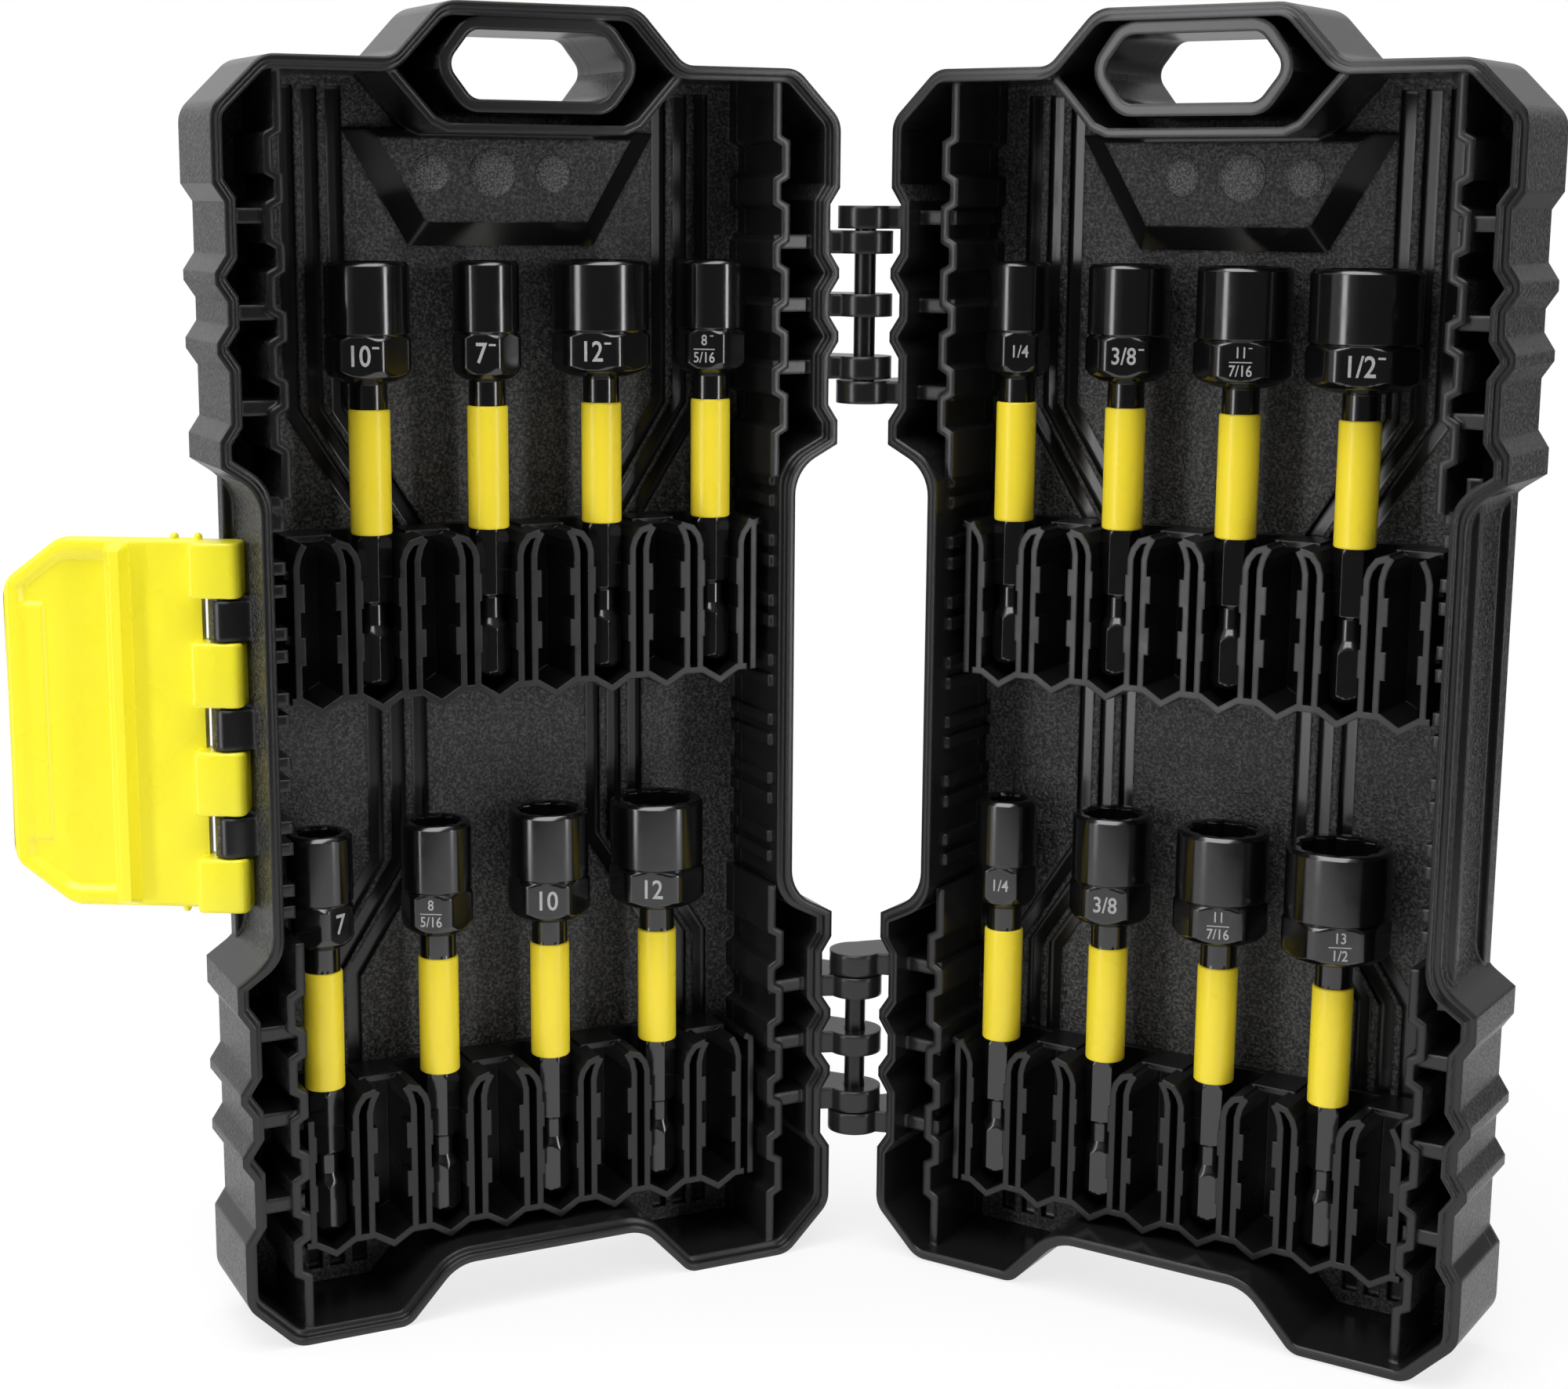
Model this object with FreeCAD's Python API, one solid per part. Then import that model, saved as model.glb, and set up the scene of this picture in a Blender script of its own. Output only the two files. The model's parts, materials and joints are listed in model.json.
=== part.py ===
"""Nut driver set in a hinged, latched plastic case, standing open like a book.

The case is two moulded half shells, a base with the latch and a lid, joined by two pinned
hinges. Each half holds two spring racks, and each rack grips four hex shank nut drivers.
A half is modelled in its own frame: x runs outwards from the hinge axis, y runs back from
the rim, z is up. The base is mirrored, and both halves are then turned to the open pose.
Units are millimetres.
"""
import FreeCAD, Part
import math
import os

# Pose of the open case
OPEN_TURN = 29.35          # each half is turned this far forward of flat
LATCH_OPEN = 119.3         # latch angle away from its closed position

# Half shell outline, measured from the hinge axis and the ground
HINGE_GAP = 5.4            # hinge axis to the crest of the side wall
HALF_WIDTH = 59.0
MIDDLE = HINGE_GAP + HALF_WIDTH
BODY_TOP = 230.2
HANDLE_TOP = 240.0
CORNER = 9.1               # chamfer on the outer corners
FOOT_OUTER = HALF_WIDTH - CORNER
FOOT_INNER = 28.5
ARCH_HALF = 19.0
ARCH_HEIGHT = 10.35
HANDLE_BASE_HALF = 27.3
HANDLE_TOP_HALF = 18.2
HINGE_WAIST = 50.2         # half widths at the waist, hinge side and latch side
LATCH_WAIST = 52.3
LOBE_LOW_END = 69.5
LOBE_HIGH_END = 161.1
WAIST_LEAN = 4.6           # rise of the slanted shoulder between lobe and waist
CORNER_ROUND = 5.0         # radii of the outline's bends
FOOT_ROUND = 4.0
ARCH_ROUND = 8.0
WAIST_ROUND = 8.0
HANDLE_ROUND = 6.0

# Wavy grips: three troughs on each lobe, centred on the hinge
LOBE_LOW = 42.8
LOBE_HIGH = 187.2
TROUGH_DEPTH = 2.0
TROUGHS = ((-14.2, 4.4), (0.0, 2.0), (14.2, 4.4))
TROUGH_SLOPE = 3.0

# Walls
DEPTH = 24.0
WALL = 2.4
FLOOR = 2.4
OVERLAP = 0.5              # depth by which joined shapes run into each other
FLOOR_TOP = DEPTH - FLOOR
BACK_BEVEL = 1.8           # depth and width of the bevel round the back
BACK_INSET = 1.3
RIM_FRONT = 0.15
LIP_STEP = 1.4             # rebate in the base rim, which the lid's tongue enters
LIP_DEPTH = 1.7
TONGUE_INSET = 1.65
TONGUE_HEIGHT = 1.1
INNER_LINE = 47.0          # half width at the middle of the lobes' inner walls
INNER_WALL = 1.6
SEAT_LINE = INNER_LINE - INNER_WALL / 2
INNER_PAST = 6.0           # length of the inner walls past the lobes
INNER_FRONT = 2.2
BULGE = 1.8                # castellations of the inner walls
BULGE_HALF = 2.9
BULGE_SLOPE = 1.0
BULGE_PITCH = 11.65
BULGE_FIRST = 3.4
WEB = 2.6
WEB_FRONT = 3.4
WEB_WIDE = 16.25           # web spacing, and on the base's hinge side
WEB_NARROW = 11.65

# Seat combs on the side walls of the main compartment
COMB_MIDDLE = 117.6
COMB_PITCH = 11.6
COMB_PAIR = 4.0
COMB_THICK = 2.2
COMB_FRONT = 4.5

# Handle opening
GRIP_MIDDLE = 229.4
GRIP_HALF = 17.0
GRIP_FLAT = 12.4
GRIP_HEIGHT = 5.9
GRIP_RING = 2.2
GRIP_ROUND = 3.0
POCKET_WALL = 1.6
POCKET_LOW = 218.6
POCKET_BEND = 1.2          # bends of the wall below the hand hole
POCKET_INSET = 1.6
POCKET_SPREAD = 0.6

# Floor relief
PANEL_LOW = 202.5          # raised trapezoid below the handle
PANEL_HIGH = 217.0
PANEL_LOW_HALF = 15.5
PANEL_HIGH_HALF = 24.0
PANEL_RISE = 3.5
PANEL_RUN = 5.5            # width of the sloping sides
GROOVE = 2.9
GROOVE_DEPTH = 1.3
GROOVE_STEP = 4.4
GROOVE_WAIST = 17.5        # innermost groove, at the waist and at the ends
GROOVE_END = 31.5
GROOVE_WIDE_ENDS = (5.0, 62.0, 168.6, 226.0)
GROOVE_WAIST_ENDS = (84.0, 146.6)

# Hinges
PIN_RADIUS = 2.0
PIN_FIT = 0.03             # running clearance; the base grips the pins
LUG_RADIUS = 5.2
LUG_THICK = 4.2
LUG_BASE = (-11.65, 0.0, 11.65)
LUG_LID = (-16.25, 16.25)
LUG_ARM = ((-4.7, 2.2), (7.9, 17.0), (7.9, 0.6), (5.15, -0.4), (0.0, -1.0))
LUG_CAP = 1.3              # blind end of the lid's lugs
PIN_HALF = 16.9

# Latch
LATCH_PIVOT_X = MIDDLE + LATCH_WAIST + 3.6
LATCH_PIVOT_Y = 12.0
LATCH_MIDDLE = 113.8
LATCH_HALF = 33.6
LATCH_LENGTH = 40.5
LATCH_SHOULDER = 30.0
LATCH_END_HALF = 25.5
LATCH_ROUND = 6.0
LATCH_END_ROUND = 4.0
LATCH_BORDER = 2.4
LATCH_START = 0.5          # start of the plate, from the pivot
LATCH_INNER = 1.0          # inner and outer face of the plate, from the pivot
LATCH_OUTER = 3.5
LATCH_POCKET = 1.2
PAD_NEAR = 33.4            # raised finger pad in the pocket
PAD_HALF = 21.5
PAD_RISE = 0.6
PIPS = (5.2, 9.4)          # small pips on the ends of the plate, from the pivot
PIP_WIDE = 1.5
PIP_RISE = 0.9
KNUCKLE_RADIUS = 3.3
KNUCKLES = ((4.0, 15.6), (23.5, 33.4))
LATCH_LUGS = ((-3.6, 3.6), (16.0, 23.1), (-23.1, -16.0))
LATCH_LUG_RADIUS = 3.1
LATCH_PIN_RADIUS = 1.5
WINDOW = 5.4               # reach of the openings beside the lugs, and their play
LUG_PLAY = 0.4
LUG_CLEAR = 6.0
LATCH_PIN_SHORT = 0.5      # the pin ends inside the plate's ends
HOOK_NEAR = 17.0
HOOK_WIDE = 3.4
HOOK_DROP = 2.8
HOOK_LEAN = 0.2
HOOK_TIP = 1.0
HOOK_END = 1.0
CATCH_NEAR = 2.2
CATCH_WIDE = 2.2
CATCH_RISE = 1.6
CATCH_LEAN = 0.5
BACK_BAR = 1.9
BACK_BAR_FRONT = 19.0

# Racks
SLOT_PITCH = 11.15
SLOTS = 8
SLOT_FIRST = 26.8
RACK_FRONT = 6.2
RACK_PLATE = 1.5
RACK_RISE = 28.7           # finger bottoms to the top of the ledge
RACK_DROP = 1.5            # finger bottoms below the shank tips
RACK_END = 2.0
RACK_LEAF = 1.2
FINGER_HALF = 1.35         # finger centre to the middle of a leaf
LEAF_BEND = 4.7            # height of the curl at the top of a spring leaf
LEAF_CURL = ((0.5, 3.0), (1.7, 1.4), (4.0, 0.7))   # its reach and drop over the next leaf
LEAF_FLARE = ((0.5, 2.6), (1.5, 0.7))              # same for a leaf beside an empty slot
LEAF_FOOT = -0.6
LEDGE_FRONT = 13.0
LEDGE_THICK = 1.2
CHEVRON_DROP = 2.2
CHEVRON_FLAT = 2.0
NUB_REACH = 0.35           # on the side of a shank, and of an empty slot
NUB_EMPTY = 0.8
NUB_TALL = 5.0
NUB_DEEP = 4.0
NUB_HEIGHTS = (9.0, 18.5)
TAB_HEIGHTS = (10.7, 22.3)
TAB_THICK = 1.4
TAB_FRONT = 9.2

# Nut drivers
DRIVER_Y = 11.2
ROW_HIGH = 120.0           # height of the shank tips in each row
ROW_LOW = 17.8
SHANK_ACROSS = 6.35
SLEEVE_RADIUS = 3.85
TIP_ACROSS = 4.7
TIP_CHAMFER = 1.3
NOTCH_ACROSS = 4.6
NOTCH = (8.4, 11.0, 14.6, 15.4)
SLEEVE_START = 27.2
SLEEVE_END = 49.6
NECK_ACROSS = 6.6
NECK_END = 54.0
COLLAR_START = 56.6
COLLAR_END = 62.6
DRIVER_LENGTH = 75.5
COLLAR_SHARE = 0.94        # collar across flats as a share of the socket diameter
COLLAR_PROUD = 0.25        # trimmed corners of the collar stand out past the socket
BORE_DEPTH = 11.0
BORE_EASE = 0.15

# Socket size across flats and outer diameter
SIZES = {
    "7": (7.0, 12.0), "8_or_5_16": (8.0, 12.9), "10": (10.0, 15.0), "12": (12.0, 17.8),
    "1_4": (6.35, 11.4), "3_8": (9.525, 14.8), "11_or_7_16": (11.1, 16.9),
    "1_2": (12.7, 19.4), "13_or_1_2": (13.0, 19.0),
}
# Half, row, first filled slot, and the sizes from the hinge outwards
ROWS = (
    ("base", "upper", 0, ("8_or_5_16", "12", "7", "10")),
    ("base", "lower", 1, ("12", "10", "8_or_5_16", "7")),
    ("lid", "upper", 0, ("1_4", "3_8", "11_or_7_16", "1_2")),
    ("lid", "lower", 0, ("1_4", "3_8", "11_or_7_16", "13_or_1_2")),
)
ROW_TIP = {"upper": ROW_HIGH, "lower": ROW_LOW}

ORIGIN = FreeCAD.Vector(0, 0, 0)
X_AXIS = FreeCAD.Vector(1, 0, 0)
Z_AXIS = FreeCAD.Vector(0, 0, 1)


def unit(ax, az, bx, bz):
    """Unit direction from point a to point b, and their distance."""
    length = math.hypot(bx - ax, bz - az)
    return (bx - ax) / length, (bz - az) / length, length


def corner_frame(points, index):
    """Directions into and out of a corner of a closed outline, and its signed turn."""
    before, here, after = points[index - 1], points[index], points[(index + 1) % len(points)]
    into = unit(before[0], before[1], here[0], here[1])
    out = unit(here[0], here[1], after[0], after[1])
    turn = math.atan2(into[0] * out[1] - into[1] * out[0], into[0] * out[0] + into[1] * out[1])
    return into, out, turn


def inset(points, distance):
    """Outline moved inwards by a distance, with its corner radii kept concentric."""
    moved = []
    for index, (x, z, radius) in enumerate(points):
        into, out, turn = corner_frame(points, index)
        scale = distance / (1 + into[0] * out[0] + into[1] * out[1])
        shift_x = -(into[1] + out[1]) * scale
        shift_z = (into[0] + out[0]) * scale
        new_radius = radius - distance if turn > 0 else radius + distance
        moved.append((x + shift_x, z + shift_z, max(new_radius, 0.0) if radius else 0.0))
    return moved


def wire(points, y=0.0):
    """Closed wire of straight runs and tangent corner arcs, in the plane of the rim."""
    def place(x, z):
        return FreeCAD.Vector(x, y, z)

    runs = []
    arcs = []
    for index, (x, z, radius) in enumerate(points):
        into, out, turn = corner_frame(points, index)
        reach = min(radius * math.tan(abs(turn) / 2), 0.48 * into[2], 0.48 * out[2])
        if reach < 0.02:
            runs.append((place(x, z), place(x, z)))
            arcs.append(None)
            continue
        start = place(x - into[0] * reach, z - into[1] * reach)
        end = place(x + out[0] * reach, z + out[1] * reach)
        true_radius = reach / math.tan(abs(turn) / 2)
        bulge = true_radius / math.cos(turn / 2) - true_radius
        lean_x, lean_z = out[0] - into[0], out[1] - into[1]
        lean = math.hypot(lean_x, lean_z)
        middle = place(x + lean_x / lean * bulge, z + lean_z / lean * bulge)
        runs.append((start, end))
        arcs.append(Part.Arc(start, middle, end).toShape())
    edges = []
    for index, arc in enumerate(arcs):
        if arc:
            edges.append(arc)
        leave, arrive = runs[index][1], runs[(index + 1) % len(runs)][0]
        if (arrive - leave).Length > 1e-6:
            edges.append(Part.makeLine(leave, arrive))
    return Part.Wire(edges)


def prism(points, front, back):
    """Solid between two depths with the given outline."""
    face = Part.Face(wire(points, front))
    return face.extrude(FreeCAD.Vector(0, back - front, 0))


def ribbon(path, thickness, front, back):
    """Wall of even thickness that follows an open path, between two depths."""
    sides = ([], [])
    last = len(path) - 1
    for index, (x, z) in enumerate(path):
        ahead = path[min(index + 1, last)]
        behind = path[max(index - 1, 0)]
        into = unit(*behind, x, z) if index else unit(x, z, *ahead)
        out = unit(x, z, *ahead) if index < last else into
        scale = thickness / 2 / (1 + into[0] * out[0] + into[1] * out[1])
        step_x = -(into[1] + out[1]) * scale
        step_z = (into[0] + out[0]) * scale
        sides[0].append((x - step_x, z - step_z, 0))
        sides[1].append((x + step_x, z + step_z, 0))
    return prism(sides[0] + sides[1][::-1], front, back)


def box(x0, x1, y0, y1, z0, z1):
    """Block between two corners."""
    return Part.makeBox(x1 - x0, y1 - y0, z1 - z0, FreeCAD.Vector(x0, y0, z0))


def upright(radius, x, y, z0, z1):
    """Vertical cylinder."""
    return Part.makeCylinder(radius, z1 - z0, FreeCAD.Vector(x, y, z0))


def flat_face(corners):
    """Plane face through its corners in order."""
    return Part.Face(Part.makePolygon(corners + corners[:1]))


def plan_prism(points, z0, z1):
    """Vertical solid with an outline given in plan."""
    face = flat_face([FreeCAD.Vector(x, y, z0) for x, y in points])
    return face.extrude(FreeCAD.Vector(0, 0, z1 - z0))


def hexagon_corners(across, z):
    """Corners of a level hexagon on the vertical axis, with two flats facing sideways."""
    radius = across / math.sqrt(3)
    turns = [math.radians(60 * step + 90) for step in range(6)]
    return [FreeCAD.Vector(radius * math.cos(t), radius * math.sin(t), z) for t in turns]


def tapered_hexagon(sections):
    """Hexagonal bar of plane faces through pairs of size across flats and height."""
    rings = [hexagon_corners(across, z) for across, z in sections]
    faces = [flat_face(rings[0]), flat_face(rings[-1])]
    for below, above in zip(rings, rings[1:]):
        for side in range(6):
            faces.append(flat_face([below[side - 1], below[side], above[side], above[side - 1]]))
    return Part.makeSolid(Part.makeShell(faces))


def joined(shapes):
    """One solid from overlapping shapes."""
    return shapes[0].multiFuse(shapes[1:]).removeSplitter()


def grip_waves(centre):
    """Wave points of one lobe's side wall, as distances in from the crest, going up."""
    points = []
    for offset, half in TROUGHS:
        middle = centre + offset
        points += [(0.0, middle - half - TROUGH_SLOPE), (TROUGH_DEPTH, middle - half)]
        points += [(TROUGH_DEPTH, middle + half), (0.0, middle + half + TROUGH_SLOPE)]
    return points


def side_outline(waist):
    """One side of the outline from foot to handle, as half widths and heights."""
    lower = [(HALF_WIDTH - dip, z, 0) for dip, z in grip_waves(LOBE_LOW)]
    upper = [(HALF_WIDTH - dip, z, 0) for dip, z in grip_waves(LOBE_HIGH)]
    shoulder = [
        (HALF_WIDTH, LOBE_LOW_END, 0), (waist, LOBE_LOW_END + WAIST_LEAN, WAIST_ROUND),
        (waist, LOBE_HIGH_END - WAIST_LEAN, WAIST_ROUND), (HALF_WIDTH, LOBE_HIGH_END, 0),
    ]
    return (
        [(ARCH_HALF, ARCH_HEIGHT, ARCH_ROUND), (FOOT_INNER, 0.0, FOOT_ROUND)]
        + [(FOOT_OUTER, 0.0, CORNER_ROUND), (HALF_WIDTH, CORNER, CORNER_ROUND)]
        + lower + shoulder + upper
        + [(HALF_WIDTH, BODY_TOP - CORNER, CORNER_ROUND), (FOOT_OUTER, BODY_TOP, CORNER_ROUND)]
        + [(HANDLE_BASE_HALF, BODY_TOP, FOOT_ROUND), (HANDLE_TOP_HALF, HANDLE_TOP, HANDLE_ROUND)]
    )


def shell_outline():
    """Closed outline of a half shell, counter-clockwise, with the hinge side at low x."""
    outer = [(MIDDLE + half, z, r) for half, z, r in side_outline(LATCH_WAIST)]
    hinge = [(MIDDLE - half, z, r) for half, z, r in side_outline(HINGE_WAIST)]
    return outer + hinge[::-1]


def grip_outline(spread):
    """Elongated hexagon of the hand hole, grown by a wall thickness."""
    tip = GRIP_HALF + spread * 1.2
    flat = GRIP_FLAT + spread * 0.6
    rise = GRIP_HEIGHT + spread
    return [
        (MIDDLE + tip, GRIP_MIDDLE, GRIP_ROUND + spread),
        (MIDDLE + flat, GRIP_MIDDLE + rise, GRIP_ROUND + spread),
        (MIDDLE - flat, GRIP_MIDDLE + rise, GRIP_ROUND + spread),
        (MIDDLE - tip, GRIP_MIDDLE, GRIP_ROUND + spread),
        (MIDDLE - flat, GRIP_MIDDLE - rise, GRIP_ROUND + spread),
        (MIDDLE + flat, GRIP_MIDDLE - rise, GRIP_ROUND + spread),
    ]


def inner_wall(side, low, high, centre, flip):
    """Castellated wall between a lobe and the main compartment."""
    line = MIDDLE + side * INNER_LINE
    path = [(line, low)]
    for step in range(-3, 4):
        middle = centre + flip * (BULGE_FIRST + BULGE_PITCH * step * flip)
        if low + BULGE_HALF + 2 < middle < high - BULGE_HALF - 2:
            foot = BULGE_HALF + BULGE_SLOPE
            path += [(line, middle - foot), (line + side * BULGE, middle - BULGE_HALF)]
            path += [(line + side * BULGE, middle + BULGE_HALF), (line, middle + foot)]
    path.append((line, high))
    return ribbon(path, INNER_WALL, INNER_FRONT, FLOOR_TOP + OVERLAP)


def lobe_walls(half):
    """Inner walls and webs of the four side lobes."""
    shapes = []
    for side in (-1, 1):
        spacing = WEB_NARROW if half == "base" and side < 0 else WEB_WIDE
        low_end, high_end = LOBE_LOW_END + INNER_PAST, LOBE_HIGH_END - INNER_PAST
        shapes.append(inner_wall(side, 1.0, low_end, LOBE_LOW, -1))
        shapes.append(inner_wall(side, high_end, BODY_TOP - 1, LOBE_HIGH, 1))
        reach = sorted((MIDDLE + side * INNER_LINE, MIDDLE + side * (HALF_WIDTH - 1.0)))
        for centre in (LOBE_LOW, LOBE_HIGH):
            for step in (-1, 0, 1):
                z = centre + step * spacing
                shapes.append(box(*reach, WEB_FRONT, FLOOR_TOP + OVERLAP, z - WEB / 2, z + WEB / 2))
    return shapes


def seat_combs():
    """Pairs of short ribs on the compartment's side walls, which locate the racks."""
    shapes = []
    for side, waist in ((-1, HINGE_WAIST), (1, LATCH_WAIST)):
        face = MIDDLE + side * (waist - WALL)
        reach = sorted((face + side * OVERLAP, MIDDLE + side * INNER_LINE))
        for step in range(-3, 4):
            for pair in (-0.5, 0.5):
                z = COMB_MIDDLE + COMB_PITCH * step + COMB_PAIR * pair
                low, high = z - COMB_THICK / 2, z + COMB_THICK / 2
                shapes.append(box(*reach, COMB_FRONT, FLOOR_TOP + OVERLAP, low, high))
    return shapes


def handle_walls():
    """Ring round the hand hole and the wall that closes the handle's pocket below."""
    ring = prism(grip_outline(GRIP_RING), RIM_FRONT + 0.2, FLOOR_TOP + OVERLAP)
    bends = (
        (HANDLE_BASE_HALF + POCKET_SPREAD, BODY_TOP - 1),
        (HANDLE_TOP_HALF + POCKET_BEND, POCKET_LOW + POCKET_BEND),
        (HANDLE_TOP_HALF - POCKET_INSET, POCKET_LOW),
    )
    path = [(MIDDLE - half, z) for half, z in bends] + [(MIDDLE + half, z) for half, z in bends[::-1]]
    return [ring, ribbon(path, POCKET_WALL, INNER_FRONT, FLOOR_TOP + OVERLAP)]


def raised_panel():
    """Raised trapezoid with sloping sides on the floor below the handle."""
    low_half, high_half = PANEL_LOW_HALF, PANEL_HIGH_HALF
    top = [
        (MIDDLE - low_half, PANEL_LOW, 0), (MIDDLE + low_half, PANEL_LOW, 0),
        (MIDDLE + high_half, PANEL_HIGH, 0), (MIDDLE - high_half, PANEL_HIGH, 0),
    ]
    foot = inset(top, -PANEL_RUN)
    rise = FLOOR_TOP - PANEL_RISE
    block = Part.makeLoft([wire(foot, FLOOR_TOP + OVERLAP), wire(top, rise)], True, True)
    reach = PANEL_HIGH_HALF + 2 * PANEL_RUN
    return block.common(box(MIDDLE - reach, MIDDLE + reach, 0, DEPTH, 0, POCKET_LOW))


def floor_grooves():
    """Three hourglass grooves on each side of the floor."""
    shapes = []
    for side in (-1, 1):
        for step in range(3):
            waist = MIDDLE + side * (GROOVE_WAIST + GROOVE_STEP * step)
            end = MIDDLE + side * (GROOVE_END + GROOVE_STEP * step)
            bends = [(z, end) for z in GROOVE_WIDE_ENDS] + [(z, waist) for z in GROOVE_WAIST_ENDS]
            path = [(x, z) for z, x in sorted(bends)]
            shapes.append(ribbon(path, GROOVE, FLOOR_TOP - OVERLAP, FLOOR_TOP + GROOVE_DEPTH))
    return shapes


def hinge_lugs(half):
    """Hinge knuckles with their arms, and the pin holes through them."""
    lugs = []
    holes = []
    offsets = LUG_BASE if half == "base" else LUG_LID
    for centre in (LOBE_LOW, LOBE_HIGH):
        for offset in offsets:
            low = centre + offset - LUG_THICK / 2
            high = low + LUG_THICK
            lugs += [upright(LUG_RADIUS, 0, 0, low, high), plan_prism(LUG_ARM, low, high)]
            if half == "base":
                holes.append(upright(PIN_RADIUS, 0, 0, low - 1, high + 1))
        if half == "lid":
            reach = WEB_WIDE + LUG_THICK / 2 - LUG_CAP
            holes.append(upright(PIN_RADIUS + PIN_FIT, 0, 0, centre - reach, centre + reach))
    return lugs, holes


def latch_side(half):
    """Back bar of the latch recess, with the base's latch lugs or the lid's catch."""
    face = MIDDLE + LATCH_WAIST
    low, high = LOBE_LOW_END - OVERLAP, LOBE_HIGH_END + OVERLAP
    shapes = [box(face - 1, face + BACK_BAR, BACK_BAR_FRONT, DEPTH - BACK_BEVEL, low, high)]
    holes = []
    if half == "lid":
        near, far = CATCH_NEAR, CATCH_NEAR + CATCH_WIDE
        tip = face + CATCH_RISE
        ridge = [(face - 1, near), (tip, near + CATCH_LEAN), (tip, far), (face - 1, far)]
        shapes.append(plan_prism(ridge, low, high))
        return shapes, holes
    x, y = LATCH_PIVOT_X, LATCH_PIVOT_Y
    for start, end in LATCH_LUGS:
        low, high = LATCH_MIDDLE + start, LATCH_MIDDLE + end
        shapes.append(upright(LATCH_LUG_RADIUS, x, y, low, high))
        shapes.append(box(face - 1, x, y - LATCH_LUG_RADIUS, y + LATCH_LUG_RADIUS, low, high))
        holes.append(upright(LATCH_PIN_RADIUS, x, y, low - 1, high + 1))
    return shapes, holes


def shell(half):
    """Moulded half shell with its rim, lobes, handle, floor relief, lugs and latch side."""
    outline = shell_outline()
    bevel_start = DEPTH - BACK_BEVEL
    back = Part.makeLoft([wire(outline, bevel_start), wire(inset(outline, BACK_INSET), DEPTH)], True, True)
    skin = prism(outline, RIM_FRONT, bevel_start).fuse(back)
    cavity = prism(inset(outline, WALL), -1.0, FLOOR_TOP)
    tray = skin.cut(cavity)
    fittings = lobe_walls(half) + seat_combs() + handle_walls() + [raised_panel()]
    inside = prism(inset(outline, WALL / 2), -1.0, FLOOR_TOP + FLOOR / 2)
    fittings = [shape.common(inside) for shape in fittings]
    lugs, holes = hinge_lugs(half)
    latch_shapes, latch_holes = latch_side(half)
    fittings += lugs + latch_shapes
    if half == "lid":
        tongue = prism(inset(outline, TONGUE_INSET), -TONGUE_HEIGHT, WALL)
        fittings.append(tongue.cut(cavity.fuse(prism(inset(outline, WALL), -3, 0))))
    body = tray.multiFuse(fittings)
    cuts = floor_grooves() + holes + latch_holes
    cuts.append(prism(grip_outline(0.0), -5.0, DEPTH + 1))
    if half == "base":
        rebate = prism(inset(outline, LIP_STEP), -1.0, LIP_DEPTH)
        cuts.append(rebate)
    return body.cut(Part.makeCompound(cuts)).removeSplitter()


def latch():
    """Latch plate in its closed place, with knuckles, hook ridge and finger pocket."""
    x, y = LATCH_PIVOT_X, LATCH_PIVOT_Y
    mid = LATCH_MIDDLE
    inner, outer = x + LATCH_INNER, x + LATCH_OUTER
    side = [
        (LATCH_START, LATCH_HALF, 0), (LATCH_SHOULDER, LATCH_HALF, LATCH_ROUND),
        (LATCH_LENGTH, LATCH_END_HALF, LATCH_END_ROUND),
    ]
    profile = [(along, mid - half, r) for along, half, r in side]
    profile += [(along, mid + half, r) for along, half, r in side[::-1]]
    plate = prism(profile, 0, outer - inner)
    plate.rotate(ORIGIN, Z_AXIS, -90)
    plate.translate(FreeCAD.Vector(inner, y, 0))
    shapes = [plate]
    cuts = []
    for start, end in KNUCKLES:
        for low, high in ((mid + start, mid + end), (mid - end, mid - start)):
            shapes.append(upright(KNUCKLE_RADIUS, x, y, low, high))
            shapes.append(box(x, outer, y - WINDOW, y, low, high))
    root, crest = inner + OVERLAP, x - HOOK_DROP
    hook = [(root, HOOK_NEAR), (crest, HOOK_NEAR + HOOK_LEAN)]
    hook += [(crest, HOOK_NEAR + HOOK_TIP), (root, HOOK_NEAR + HOOK_WIDE)]
    hook_half = LATCH_HALF - HOOK_END
    shapes.append(plan_prism([(hx, y - along) for hx, along in hook], mid - hook_half, mid + hook_half))
    for along in PIPS:
        reach = (y - along - PIP_WIDE / 2, y - along + PIP_WIDE / 2)
        tip = LATCH_HALF + PIP_RISE
        shapes.append(box(inner, outer, *reach, mid - tip, mid + tip).cut(plate))
    for start, end in LATCH_LUGS:
        low, high = mid + start - LUG_PLAY, mid + end + LUG_PLAY
        cuts.append(box(x - LUG_CLEAR, outer + 1, y - WINDOW, y + LUG_CLEAR, low, high))
    near, far = HOOK_NEAR + HOOK_WIDE + LATCH_START, LATCH_LENGTH
    recess = prism(inset(profile, LATCH_BORDER), -1.0, LATCH_POCKET)
    recess = recess.common(box(near, far, -DEPTH, DEPTH, 0, BODY_TOP))
    pad = box(PAD_NEAR, far, LATCH_POCKET - PAD_RISE, DEPTH, mid - PAD_HALF, mid + PAD_HALF)
    recess = recess.cut(pad)
    recess.rotate(ORIGIN, Z_AXIS, -90)
    recess.translate(FreeCAD.Vector(inner, y, 0))
    bore = upright(LATCH_PIN_RADIUS + PIN_FIT, x, y, mid - LATCH_HALF - 1, mid + LATCH_HALF + 1)
    return joined(shapes).cut(Part.makeCompound(cuts + [recess, bore]))


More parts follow.
